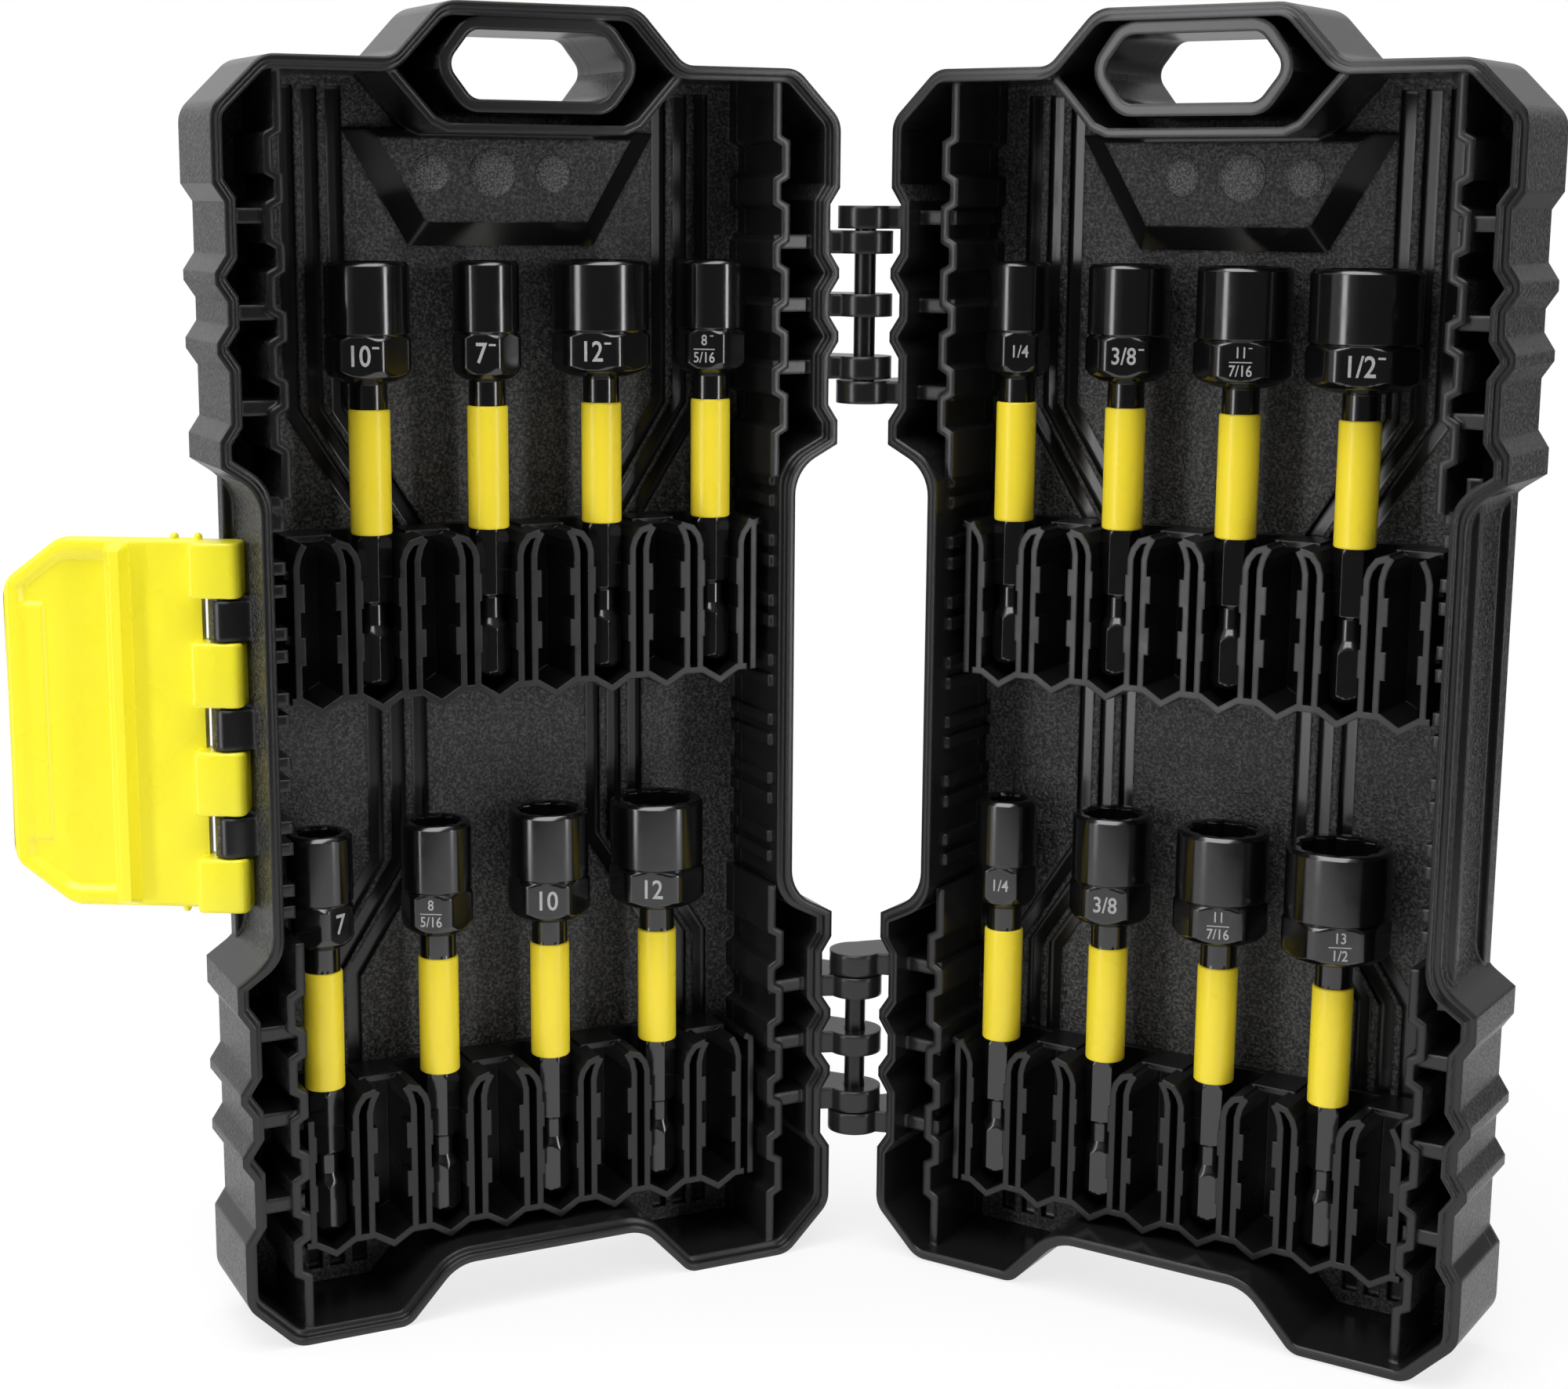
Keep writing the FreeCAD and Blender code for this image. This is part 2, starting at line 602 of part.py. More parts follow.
def rack(first_filled):
    """Spring rack: back plate, ledge, hairpin fingers and chevron slot bottoms."""
    top = RACK_RISE
    plate_front = FLOOR_TOP - RACK_PLATE
    left = SLOT_FIRST - SLOT_PITCH / 2
    right = left + SLOT_PITCH * SLOTS
    shapes = [box(left - RACK_END, right, plate_front, FLOOR_TOP, LEAF_FOOT, top)]
    for slot in range(SLOTS):
        centre = SLOT_FIRST + SLOT_PITCH * slot
        edge = SLOT_PITCH / 2 - FINGER_HALF
        sides = (centre - SLOT_PITCH / 2, centre + SLOT_PITCH / 2)
        chevron = [(sides[0], 0.0), (sides[0] + CHEVRON_FLAT, 0.0), (centre, -CHEVRON_DROP)]
        chevron += [(sides[1] - CHEVRON_FLAT, 0.0), (sides[1], 0.0)]
        shapes.append(ribbon(chevron, RACK_LEAF, RACK_FRONT, plate_front + OVERLAP))
        if slot % 2 == first_filled:
            shapes += spring_leaves(centre, edge, top, plate_front)
        else:
            shapes += straight_leaves(centre, edge, top, plate_front)
    line = left - FINGER_HALF
    leaf = [(line, LEAF_FOOT), (line, top - LEDGE_THICK), (left, top - RACK_LEAF / 2)]
    shapes.append(ribbon(leaf, RACK_LEAF, RACK_FRONT, plate_front + OVERLAP))
    for start, end in ((MIDDLE - SEAT_LINE, left), (right - FINGER_HALF, MIDDLE + SEAT_LINE)):
        for z in TAB_HEIGHTS:
            low, high = z - TAB_THICK / 2, z + TAB_THICK / 2
            shapes.append(box(start, end, TAB_FRONT, FLOOR_TOP, low, high))
    return joined(shapes)


def leaf_nubs(face, side, reach):
    """Two low nubs on the face of a leaf that looks against the given side."""
    shapes = []
    for z in NUB_HEIGHTS:
        ends = sorted((face + side * OVERLAP, face - side * reach))
        shapes.append(box(*ends, RACK_FRONT, RACK_FRONT + NUB_DEEP, z - NUB_TALL / 2, z + NUB_TALL / 2))
    return shapes


def spring_leaves(centre, edge, top, plate_front):
    """Two spring leaves of a filled slot, which curl over the next leaf, with their nubs."""
    shapes = []
    for side in (-1, 1):
        line = centre + side * edge
        path = [(line, LEAF_FOOT), (line, top - LEAF_BEND)]
        if line + side * LEAF_CURL[-1][0] < MIDDLE + SEAT_LINE:
            path += [(line + side * reach, top - drop) for reach, drop in LEAF_CURL]
        shapes.append(ribbon(path, RACK_LEAF, RACK_FRONT, plate_front + OVERLAP))
        shapes += leaf_nubs(line - side * RACK_LEAF / 2, side, NUB_REACH)
    return shapes


def straight_leaves(centre, edge, top, plate_front):
    """Empty slot: two leaves that flare towards it, with their nubs and a ledge behind them."""
    shapes = [box(centre - edge, centre + edge, LEDGE_FRONT, plate_front + OVERLAP, top - LEDGE_THICK, top)]
    for side in (-1, 1):
        line = centre + side * edge
        leaf = [(line, LEAF_FOOT), (line, top - LEAF_BEND)]
        leaf += [(line - side * reach, top - drop) for reach, drop in LEAF_FLARE]
        shapes.append(ribbon(leaf, RACK_LEAF, RACK_FRONT, plate_front + OVERLAP))
        shapes += leaf_nubs(line - side * RACK_LEAF / 2, side, NUB_EMPTY)
    return shapes


def driver(across, diameter):
    """Nut driver standing on its shank tip: hex shank with notch, neck, collar and socket."""
    taper_start, notch_start, notch_end, taper_end = NOTCH
    collar = diameter * COLLAR_SHARE
    bar = [
        (TIP_ACROSS, 0.0), (SHANK_ACROSS, TIP_CHAMFER), (SHANK_ACROSS, taper_start),
        (NOTCH_ACROSS, notch_start), (NOTCH_ACROSS, notch_end), (SHANK_ACROSS, taper_end),
        (SHANK_ACROSS, SLEEVE_END),
    ]
    head = [
        (NECK_ACROSS, SLEEVE_END), (NECK_ACROSS, NECK_END), (collar, COLLAR_START), (collar, COLLAR_END),
    ]
    trim = upright(diameter / 2 + COLLAR_PROUD, 0, 0, SLEEVE_END, COLLAR_END)
    socket = upright(diameter / 2, 0, 0, COLLAR_END, DRIVER_LENGTH)
    solid = joined([tapered_hexagon(bar), tapered_hexagon(head).common(trim), socket])
    return solid.cut(star_bore(across + BORE_EASE))


def star_bore(across):
    """Twelve point socket bore: two hexagons turned by half a flat."""
    outer = across / math.sqrt(3)
    inner = across / 2 / math.cos(math.radians(15))
    points = []
    for step in range(24):
        reach = inner if step % 2 else outer
        angle = math.radians(15 * step)
        points.append((reach * math.cos(angle), reach * math.sin(angle)))
    return plan_prism(points, DRIVER_LENGTH - BORE_DEPTH, DRIVER_LENGTH + 1)


def sleeve():
    """Colour sleeve, a tube with a hexagonal bore that is pressed over the shank."""
    tube = Part.makeCylinder(SLEEVE_RADIUS, SLEEVE_END - SLEEVE_START, FreeCAD.Vector(0, 0, SLEEVE_START))
    bore = tapered_hexagon([(SHANK_ACROSS, SLEEVE_START - 1), (SHANK_ACROSS, SLEEVE_END + 1)])
    return tube.cut(bore)


def hinge_pin(centre):
    """Straight pin of one hinge."""
    return upright(PIN_RADIUS, 0, 0, centre - PIN_HALF, centre + PIN_HALF)


def half_nodes():
    """Every piece in its half's own frame, as name, half and shape."""
    nodes = [("base_shell", "base", shell("base")), ("lid_shell", "lid", shell("lid"))]
    nodes.append(("hinge_pin_lower", "base", hinge_pin(LOBE_LOW)))
    nodes.append(("hinge_pin_upper", "base", hinge_pin(LOBE_HIGH)))
    plate = latch()
    pivot = FreeCAD.Vector(LATCH_PIVOT_X, LATCH_PIVOT_Y, 0)
    plate.rotate(pivot, Z_AXIS, LATCH_OPEN)
    nodes.append(("latch", "base", plate))
    pin_half = LATCH_HALF - LATCH_PIN_SHORT
    ends = (LATCH_MIDDLE - pin_half, LATCH_MIDDLE + pin_half)
    pin = upright(LATCH_PIN_RADIUS, LATCH_PIVOT_X, LATCH_PIVOT_Y, *ends)
    nodes.append(("latch_pin", "base", pin))
    racks = {filled: rack(filled) for filled in (0, 1)}
    heads = {size: driver(*SIZES[size]) for size in SIZES}
    band = sleeve()
    for half, row, first_filled, sizes in ROWS:
        tip = ROW_TIP[row]
        holder = racks[first_filled].copy()
        holder.translate(FreeCAD.Vector(0, 0, tip - RACK_DROP))
        nodes.append((f"{half}_rack_{row}", half, holder))
        for index, size in enumerate(sizes):
            slot = first_filled + 2 * index
            place = FreeCAD.Vector(SLOT_FIRST + SLOT_PITCH * slot, DRIVER_Y, tip)
            for kind, shape in (("driver", heads[size]), ("sleeve", band)):
                piece = shape.copy()
                piece.translate(place)
                nodes.append((f"{half}_{row}_{kind}_{size}", half, piece))
    return nodes


def main():
    """Place every piece in the open pose and write one file for each."""
    placed = []
    for name, half, shape in half_nodes():
        if half == "base":
            shape = shape.mirror(ORIGIN, X_AXIS)
            shape.rotate(ORIGIN, Z_AXIS, OPEN_TURN)
        else:
            shape.rotate(ORIGIN, Z_AXIS, -OPEN_TURN)
        placed.append((name, shape))
    extent = Part.makeCompound([shape for _, shape in placed]).optimalBoundingBox()
    shift = FreeCAD.Vector(-extent.Center.x, -extent.Center.y, -extent.ZMin)
    os.makedirs("parts", exist_ok=True)
    for name, shape in placed:
        shape.translate(shift)
        shape.exportStep(f"parts/{name}.step")
    print("hinge axis at", round(shift.x, 3), round(shift.y, 3))


if __name__ == "__main__":
    main()
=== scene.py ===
"""Dresses the nut driver set in its open case: moulded shells, spring racks, latch and drivers.

The shells, racks and pins keep their solids and get procedural finishes. The drivers, their sleeves
and the latch are drawn again as fine surfaces. The size marks are set on the collars, and round marks
on the raised panels. Lengths in the shape formulas are metres, and the frame gives every place.
"""

import json
import math

import bmesh
import bpy
import numpy as np
from bpy.props import FloatProperty, FloatVectorProperty, PointerProperty
from mathutils import Matrix, Vector


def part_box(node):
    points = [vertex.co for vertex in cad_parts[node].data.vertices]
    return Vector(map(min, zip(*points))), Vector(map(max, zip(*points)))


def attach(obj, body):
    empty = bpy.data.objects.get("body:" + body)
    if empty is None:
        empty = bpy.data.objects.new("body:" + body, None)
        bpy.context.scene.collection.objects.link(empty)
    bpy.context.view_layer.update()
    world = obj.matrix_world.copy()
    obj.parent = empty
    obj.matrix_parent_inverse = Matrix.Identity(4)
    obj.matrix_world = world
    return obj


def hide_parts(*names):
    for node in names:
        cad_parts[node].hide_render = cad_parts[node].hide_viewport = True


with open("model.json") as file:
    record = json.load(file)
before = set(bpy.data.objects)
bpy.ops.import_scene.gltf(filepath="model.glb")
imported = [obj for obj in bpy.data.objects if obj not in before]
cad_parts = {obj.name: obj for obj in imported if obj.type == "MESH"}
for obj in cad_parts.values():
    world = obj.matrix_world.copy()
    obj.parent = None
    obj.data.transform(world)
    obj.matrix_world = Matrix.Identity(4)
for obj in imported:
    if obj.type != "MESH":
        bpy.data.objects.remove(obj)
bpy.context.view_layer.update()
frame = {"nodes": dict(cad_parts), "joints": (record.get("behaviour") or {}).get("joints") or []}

bl_info = {
    "name": "Nut driver set in case",
    "version": (1, 0, 0),
    "blender": (4, 5, 0),
    "location": "3D View > Sidebar > Driver Set",
    "description": "Finishes the case and makes its latch, drivers, sleeves, marks and stage",
    "category": "Object",
}

MM = 0.001
JOINTS = {joint["name"]: joint for joint in frame["joints"]}
HINGE = np.array(JOINTS["lid_hinge"]["pos_m"])
HALVES = ("base", "lid")
ROWS = ("upper", "lower")

# Socket size across flats and outer diameter in millimetres, and the lines of its mark
SOCKETS = {
    "7": (7.0, 12.0, ("7",)), "8_or_5_16": (8.0, 12.9, ("8", "5/16")), "10": (10.0, 15.0, ("10",)),
    "12": (12.0, 17.8, ("12",)), "1_4": (6.35, 11.4, ("1/4",)), "3_8": (9.525, 14.8, ("3/8",)),
    "11_or_7_16": (11.1, 16.9, ("11", "7/16")), "1_2": (12.7, 19.4, ("1/2",)),
    "13_or_1_2": (13.0, 19.0, ("13", "1/2")),
}
# Letter size of the marks in millimetres: one line, two stacked lines, and the smaller single lines
MARK_SIZE, MARK_STACKED = 5.2, 2.75
MARK_SIZES = {"1/4": 3.2, "3/8": 4.3}
MARK_RISE, MARK_DROP = 0.03, 0.5    # off the collar's flat, and below the flat's middle, in millimetres
# Turn of each driver in degrees, from the flat that looks straight ahead
TURNS = {
    "base_upper_12": -4, "base_upper_8_or_5_16": -6, "base_lower_7": 52, "base_lower_10": 5,
    "lid_upper_3_8": -11, "lid_upper_11_or_7_16": -10, "lid_upper_1_2": -14, "lid_lower_1_4": -14,
    "lid_lower_3_8": -13, "lid_lower_11_or_7_16": -10, "lid_lower_13_or_1_2": -5,
}
AROUND = 96                  # points round a turned surface, a multiple of twelve
# Half shell: hinge axis to its middle, depth, height, and the depth of the floor and the raised panel
HALF_MIDDLE, HALF_DEPTH, HALF_HEIGHT = 64.4 * MM, 24.0 * MM, 240.0 * MM
FLOOR_DEPTH, PANEL_DEPTH = 21.6 * MM, 18.1 * MM
DEPTH_PLAY = 0.2 * MM        # spread of a depth round its level
COLLAR_SHARE = 0.94          # collar across flats, as a share of the socket's diameter
# Latch: heights of the knuckles above and below its middle, and places of the pips, in millimetres
KNUCKLES = ((4.0, 15.6), (23.5, 33.4), (-15.6, -4.0), (-33.4, -23.5))
PIPS = (5.2, 9.4)
# Radius of the floor, and of its middle where shadows show most, in metres
FLOOR_REACH, FLOOR_SHADOW = 0.36, 0.16
# Round marks on the raised panel: place across from the middle, height and radius in millimetres
PANEL_MARKS = ((14.75, 211.0, 3.4), (3.0, 211.0, 4.35), (-8.7, 211.0, 3.4))
PALE_WALL = (-0.55, 0.5, 0.67)   # direction of the studio's pale wall
# Strip and soft lamps: place and size in metres, and power in watts
LAMPS = (
    ("strip_left", (-0.8, -0.66, 0.12), (0.2, 1.1), 3.7),
    ("strip_right", (0.92, -0.5, 0.12), (0.14, 1.1), 4.2),
    ("soft_top", (-0.1, -0.25, 1.1), (0.9, 1.2), 15.0),
)
CREASE = math.radians(28)    # sharper folds stay crisp in the shading


def linear(code):
    """Linear colour of an sRGB hex code."""
    parts = [int(code[start:start + 2], 16) / 255 for start in (1, 3, 5)]
    return [c / 12.92 if c <= 0.04045 else ((c + 0.055) / 1.055) ** 2.4 for c in parts]


def colour(name, description, code):
    """Colour property with its default from a hex code."""
    return FloatVectorProperty(
        name=name, description=description, subtype="COLOR", size=3, min=0, max=1, default=linear(code))


def length(name, description, millimetres):
    """Length property with its default in millimetres."""
    return FloatProperty(
        name=name, description=description, unit="LENGTH", precision=5, default=millimetres * MM)


class CaseFinish(bpy.types.PropertyGroup):
    """Colours and surface sizes of the moulded and turned pieces."""
    shell: colour("Shell", "Black of the moulded shells", "#121213")
    rim: colour("Rim", "Smooth rim of the shells", "#1A1A1B")
    crest: colour("Grain crests", "Grey of the grain's crests", "#5C5C5C")
    sanded: colour("Sanded marks", "Grey of the sanded round marks", "#767676")
    rack: colour("Racks", "Satin black of the spring racks", "#0F0F10")
    latch: colour("Latch", "Yellow of the latch plate", "#FFF433")
    sleeve: colour("Sleeves", "Yellow of the shank sleeves", "#FAE238")
    steel: colour("Steel", "Black oxide on the drivers", "#0B0B0C")
    mark: colour("Size marks", "Grey of the size marks", "#B9B9B9")
    grain: length("Grain", "Spacing of the moulded grain", 0.6)
    edge: length("Edge", "Radius of the moulded edges", 0.6)


class DriverShape(bpy.types.PropertyGroup):
    """Sizes of a nut driver, measured up from its shank tip."""
    shank_across: length("Shank", "Shank across flats", 6.35)
    tip_radius: length("Tip", "Radius at the end of the tip chamfer", 2.7)
    tip_chamfer: length("Tip chamfer", "Height of the tip chamfer", 1.3)
    notch_radius: length("Notch", "Radius of the retaining notch", 2.4)
    taper_start: length("Taper start", "Foot of the notch's long taper", 8.4)
    notch_start: length("Notch start", "Foot of the round notch", 11.0)
    notch_end: length("Notch end", "Top of the round notch", 14.6)
    taper_end: length("Taper end", "Top of the notch's short taper", 15.4)
    sleeve_start: length("Sleeve start", "Foot of the sleeve", 27.2)
    sleeve_end: length("Sleeve end", "Top of the sleeve", 49.6)
    sleeve_radius: length("Sleeve radius", "Outside of the sleeve", 3.72)
    sleeve_round: length("Sleeve edge", "Rounding of the sleeve's ends", 0.45)
    neck_radius: length("Neck", "Radius of the neck above the sleeve", 3.35)
    neck_end: length("Neck end", "Top of the neck", 54.0)
    collar_start: length("Collar start", "Foot of the collar's flats", 56.6)
    collar_end: length("Collar end", "Top of the collar", 62.6)
    collar_proud: length("Collar corners", "Collar corners past the socket", 0.25)
    chamfer: length("Chamfer", "Chamfer at the collar and the mouth", 0.7)
    total: length("Length", "Whole driver", 75.5)
    bore_depth: length("Bore", "Depth of the socket bore", 11.0)


class LatchShape(bpy.types.PropertyGroup):
    """Sizes of the latch, measured along its plate from the pivot, across it and through it."""
    turn: FloatProperty(
        name="Turn", description="Angle from closed to the rest pose", subtype="ANGLE",
        default=math.radians(119.3))
    start: length("Start", "Start of the plate behind the knuckles", 4.6)
    shoulder: length("Shoulder", "Start of the slanted corners", 30.0)
    end: length("End", "Free end of the plate", 40.5)
    half: length("Half height", "Half height of the plate", 33.6)
    end_half: length("End half", "Half height of the free end", 25.5)
    inner: length("Inner face", "Inner face from the pivot", 1.0)
    outer: length("Outer face", "Outer face from the pivot", 3.5)
    pocket: length("Pocket", "Depth of the finger pocket", 1.2)
    pad: length("Pad", "Start of the raised pad in the pocket", 33.4)
    pad_half: length("Pad half", "Half height of the pad", 21.5)
    ridge: length("Ridge", "Middle of the hook ridge", 18.9)
    ridge_half: length("Ridge half", "Half width of the hook ridge", 1.8)
    ridge_rise: length("Ridge rise", "Rise of the hook ridge", 3.6)
    knuckle: length("Knuckle", "Half thickness of the knuckles", 3.2)


class StageSetup(bpy.types.PropertyGroup):
    """Camera of the product view."""
    eye: FloatVectorProperty(
        name="Eye", description="Place of the camera", unit="LENGTH", size=3,
        default=(0.02539, -0.46744, 0.20768))
    yaw: FloatProperty(name="Yaw", description="Turn to the right", subtype="ANGLE", default=-0.0588)
    pitch: FloatProperty(name="Pitch", description="Tilt downwards", subtype="ANGLE", default=0.1827)
    roll: FloatProperty(name="Roll", description="Roll of the camera", subtype="ANGLE", default=0.0062)
    lens: FloatProperty(name="Lens", description="Focal length in millimetres", default=59.0)
    shift: FloatVectorProperty(
        name="Shift", description="Shift of the frame, in frame widths", size=2, default=(0.0169, -0.0168))
    floor: colour("Floor", "Pale floor and backdrop", "#FBFBFB")


def half_axes(half):
    """Outward, backward and opening directions of one half, from its drivers' slides."""
    forward = next(
        np.array(joint["axis"]) for name, joint in JOINTS.items()
        if name.startswith(half) and joint["type"] == "slide")
    across = np.array([forward[1], -forward[0], 0.0])
    outward = across if half == "base" else -across
    return outward, -forward, forward


def driver_places():
    """Half, row, size, shank tip and body of every driver, read from the frame's nodes."""
    places = []
    for half in HALVES:
        for row in ROWS:
            start = f"{half}_{row}_driver_"
            for node in sorted(frame["nodes"]):
                if node.startswith(start):
                    size = node[len(start):]
                    low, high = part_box(node)
                    tip = np.array([(low.x + high.x) / 2, (low.y + high.y) / 2, low.z])
                    places.append((half, row, size, tip, f"{half}_{row}_{size}"))
    return places


def mark_direction(half, body):
    """Direction of a driver's marked flat: between forward and outward, then turned about the axis."""
    outward, _, forward = half_axes(half)
    flat = math.cos(math.radians(30)) * forward + math.sin(math.radians(30)) * outward
    turn = math.radians(TURNS.get(body, 0))
    across = np.array([-flat[1], flat[0], 0.0])
    return math.cos(turn) * flat + math.sin(turn) * across


def add_node(tree, kind, settings=None, **inputs):
    """Adds a node with its settings; an input, named or numbered as i0, is linked or set to a value."""
    node = tree.nodes.new(kind)
    for key, value in (settings or {}).items():
        if hasattr(node, key):
            setattr(node, key, value)
        else:
            node.inputs[key].default_value = value
    for key, value in inputs.items():
        numbered = key[0] == "i" and key[1:].isdigit()
        socket = node.inputs[int(key[1:]) if numbered else key.replace("_", " ")]
        if isinstance(value, bpy.types.NodeSocket):
            tree.links.new(value, socket)
        else:
            socket.default_value = value
    return node


def maths(tree, operation, *values, clamped=False):
    """Output of a math node over sockets and numbers."""
    settings = {"operation": operation, "use_clamp": clamped}
    inputs = {f"i{index}": value for index, value in enumerate(values)}
    return add_node(tree, "ShaderNodeMath", settings, **inputs).outputs["Value"]


def dot(tree, first, second):
    """Dot product of two vectors, given as sockets or as three numbers."""
    node = add_node(tree, "ShaderNodeVectorMath", {"operation": "DOT_PRODUCT"}, i0=first, i1=second)
    return node.outputs["Value"]


def remap(tree, value, low, high, start=0.0, end=1.0):
    """Value carried from the range between start and end to the range between low and high."""
    settings = {"From Min": start, "From Max": end, "To Min": low, "To Max": high}
    return add_node(tree, "ShaderNodeMapRange", settings, Value=value).outputs["Result"]


def tones(tree, share, first, second):
    """Colour between two colours, by the share of the second."""
    return add_node(tree, "ShaderNodeMix", {"data_type": "RGBA"}, i0=share, i6=first, i7=second).outputs[2]


def noise(tree, place, size, **settings):
    """Noise value with features of about the given size."""
    settings["Scale"] = 1 / size
    return add_node(tree, "ShaderNodeTexNoise", settings, Vector=place).outputs["Fac"]


def rounded(tree, radius, samples=4):
    """Normal that rounds the edges off in the shading."""
    return add_node(tree, "ShaderNodeBevel", {"samples": samples, "Radius": radius}).outputs["Normal"]


def start_material(name):
    """Empty material, its node tree and the texture coordinates in it."""
    material = bpy.data.materials.new(name)
    material.use_nodes = True
    tree = material.node_tree
    tree.nodes.clear()
    return material, tree, add_node(tree, "ShaderNodeTexCoord").outputs


def end_material(tree, settings, **inputs):
    """Principled surface on the material's output."""
    shader = add_node(tree, "ShaderNodeBsdfPrincipled", settings, **inputs)
    add_node(tree, "ShaderNodeOutputMaterial", Surface=shader.outputs["BSDF"])


def cloudy_gloss(tree, place, size, detail, low, high):
    """Roughness that drifts between two values over clouds of the given size."""
    return remap(tree, noise(tree, place, size, Detail=detail), low, high, 0.3, 0.7)


def rgba(values):
    """Colour with full opacity."""
    return (values[0], values[1], values[2], 1.0)


def moulded_shell(look, half):
    """Polypropylene, moulded: grain on the outside and the floor, smooth rim, walls and grooves.

    The depth behind the rim plane is the dot product of the place with the half's back direction.
    The outside is where the surface faces away from the middle of the half.
    """
    material, tree, coords = start_material(f"grained_polypropylene_{half}")
    place, facing = coords["Object"], coords["Normal"]
    outward, back, _ = half_axes(half)
    middle = HINGE + outward * HALF_MIDDLE + back * HALF_DEPTH / 2
    middle[2] = HALF_HEIGHT / 2
    depth = dot(tree, place, tuple(back))
    start = float(back @ HINGE)
    spread = add_node(tree, "ShaderNodeVectorMath", {"operation": "SUBTRACT"}, i0=place, i1=tuple(middle))
    outside = maths(tree, "GREATER_THAN", dot(tree, spread.outputs["Vector"], facing), DEPTH_PLAY)
    # faces that look forward, like the rim and the ring round the handle hole, stay smooth
    behind = maths(tree, "GREATER_THAN", dot(tree, facing, tuple(back)), -0.5)
    grained = maths(tree, "MULTIPLY", outside, behind)
    for level in (FLOOR_DEPTH, PANEL_DEPTH):
        flat = maths(tree, "COMPARE", depth, start + level, DEPTH_PLAY)
        grained = maths(tree, "MAXIMUM", grained, flat)
    # faces that look up are rubbed smooth, so the grain fades there
    tilt = add_node(tree, "ShaderNodeSeparateXYZ", Vector=facing)
    grained = maths(tree, "MULTIPLY", grained, remap(tree, tilt.outputs["Z"], 1.0, 0.1, 0.35, 0.75))
    grain = noise(tree, place, look.grain, Detail=3.0, Roughness=0.7)
    crest = maths(tree, "MULTIPLY", remap(tree, grain, 0.0, 1.0, 0.44, 0.66), grained)
    skin = tones(tree, grained, rgba(look.rim), rgba(look.shell))
    bump = add_node(
        tree, "ShaderNodeBump", {"Distance": 0.3 * MM}, Height=grain,
        Strength=remap(tree, grained, 0.02, 1.0), Normal=rounded(tree, look.edge * 1.8, 6))
    end_material(
        tree, {"IOR": 1.49}, Base_Color=tones(tree, crest, skin, rgba(look.crest)),
        Roughness=remap(tree, grained, 0.2, 0.36), Normal=bump.outputs["Normal"])
    return material


def sanded_mark(look):
    """Polypropylene, sanded tool face: matt black with fine pale speckles."""
    material, tree, coords = start_material("sanded_polypropylene")
    speckle = noise(tree, coords["Object"], 0.6 * look.grain, Detail=3.0, Roughness=0.7)
    tone = tones(tree, remap(tree, speckle, 0.0, 1.0, 0.42, 0.62), rgba(look.shell), rgba(look.sanded))
    end_material(tree, {"Roughness": 0.5, "IOR": 1.49}, Base_Color=tone)
    return material


def satin_rack(look):
    """Polypropylene, moulded in a polished tool: satin skin with faint flow clouds."""
    material, tree, coords = start_material("satin_polypropylene_rack")
    end_material(
        tree, {"Base Color": rgba(look.rack), "IOR": 1.49}, Normal=rounded(tree, look.edge * 0.7),
        Roughness=cloudy_gloss(tree, coords["Object"], 6 * MM, 3.0, 0.26, 0.36))
    return material


def gloss_latch(look):
    """ABS, moulded in a polished tool: even yellow with a soft gloss."""
    material, tree, coords = start_material("gloss_abs_latch")
    end_material(
        tree, {"Base Color": rgba(look.latch), "IOR": 1.53},
        Roughness=cloudy_gloss(tree, coords["Object"], 12 * MM, 2.0, 0.24, 0.34))
    return material


def dipped_sleeve(look):
    """PVC, shrunk on the shank: smooth yellow with slow waves in its gloss."""
    material, tree, coords = start_material("gloss_pvc_sleeve")
    end_material(
        tree, {"Base Color": rgba(look.sleeve), "IOR": 1.45},
        Roughness=cloudy_gloss(tree, coords["Object"], 8 * MM, 1.0, 0.26, 0.36))
    return material


def black_oxide(look):
    """Alloy steel, ground and black oxided: deep black with clear, faintly cloudy highlights."""
    material, tree, coords = start_material("black_oxide_steel")
    end_material(
        tree, {"Base Color": rgba(look.steel), "IOR": 1.7}, Normal=rounded(tree, 0.25 * MM),
        Roughness=cloudy_gloss(tree, coords["Object"], 4 * MM, 2.0, 0.13, 0.19))
    return material


def mark_paint(look):
    """Pad printed ink: matt pale grey with thin spots."""
    material, tree, coords = start_material("pad_print_ink")
    wear = noise(tree, coords["Object"], 0.8 * MM, Detail=2.0)
    thin = rgba([0.6 * part for part in look.mark])
    end_material(tree, {"Roughness": 0.55}, Base_Color=tones(tree, wear, rgba(look.mark), thin))
    return material


def shown_rays(tree):
    """One for camera, glossy and transmission rays, and nought for the rays that light the object."""
    path = add_node(tree, "ShaderNodeLightPath").outputs
    seen = maths(tree, "ADD", path["Is Camera Ray"], path["Is Glossy Ray"])
    return maths(tree, "ADD", seen, path["Is Transmission Ray"], clamped=True)


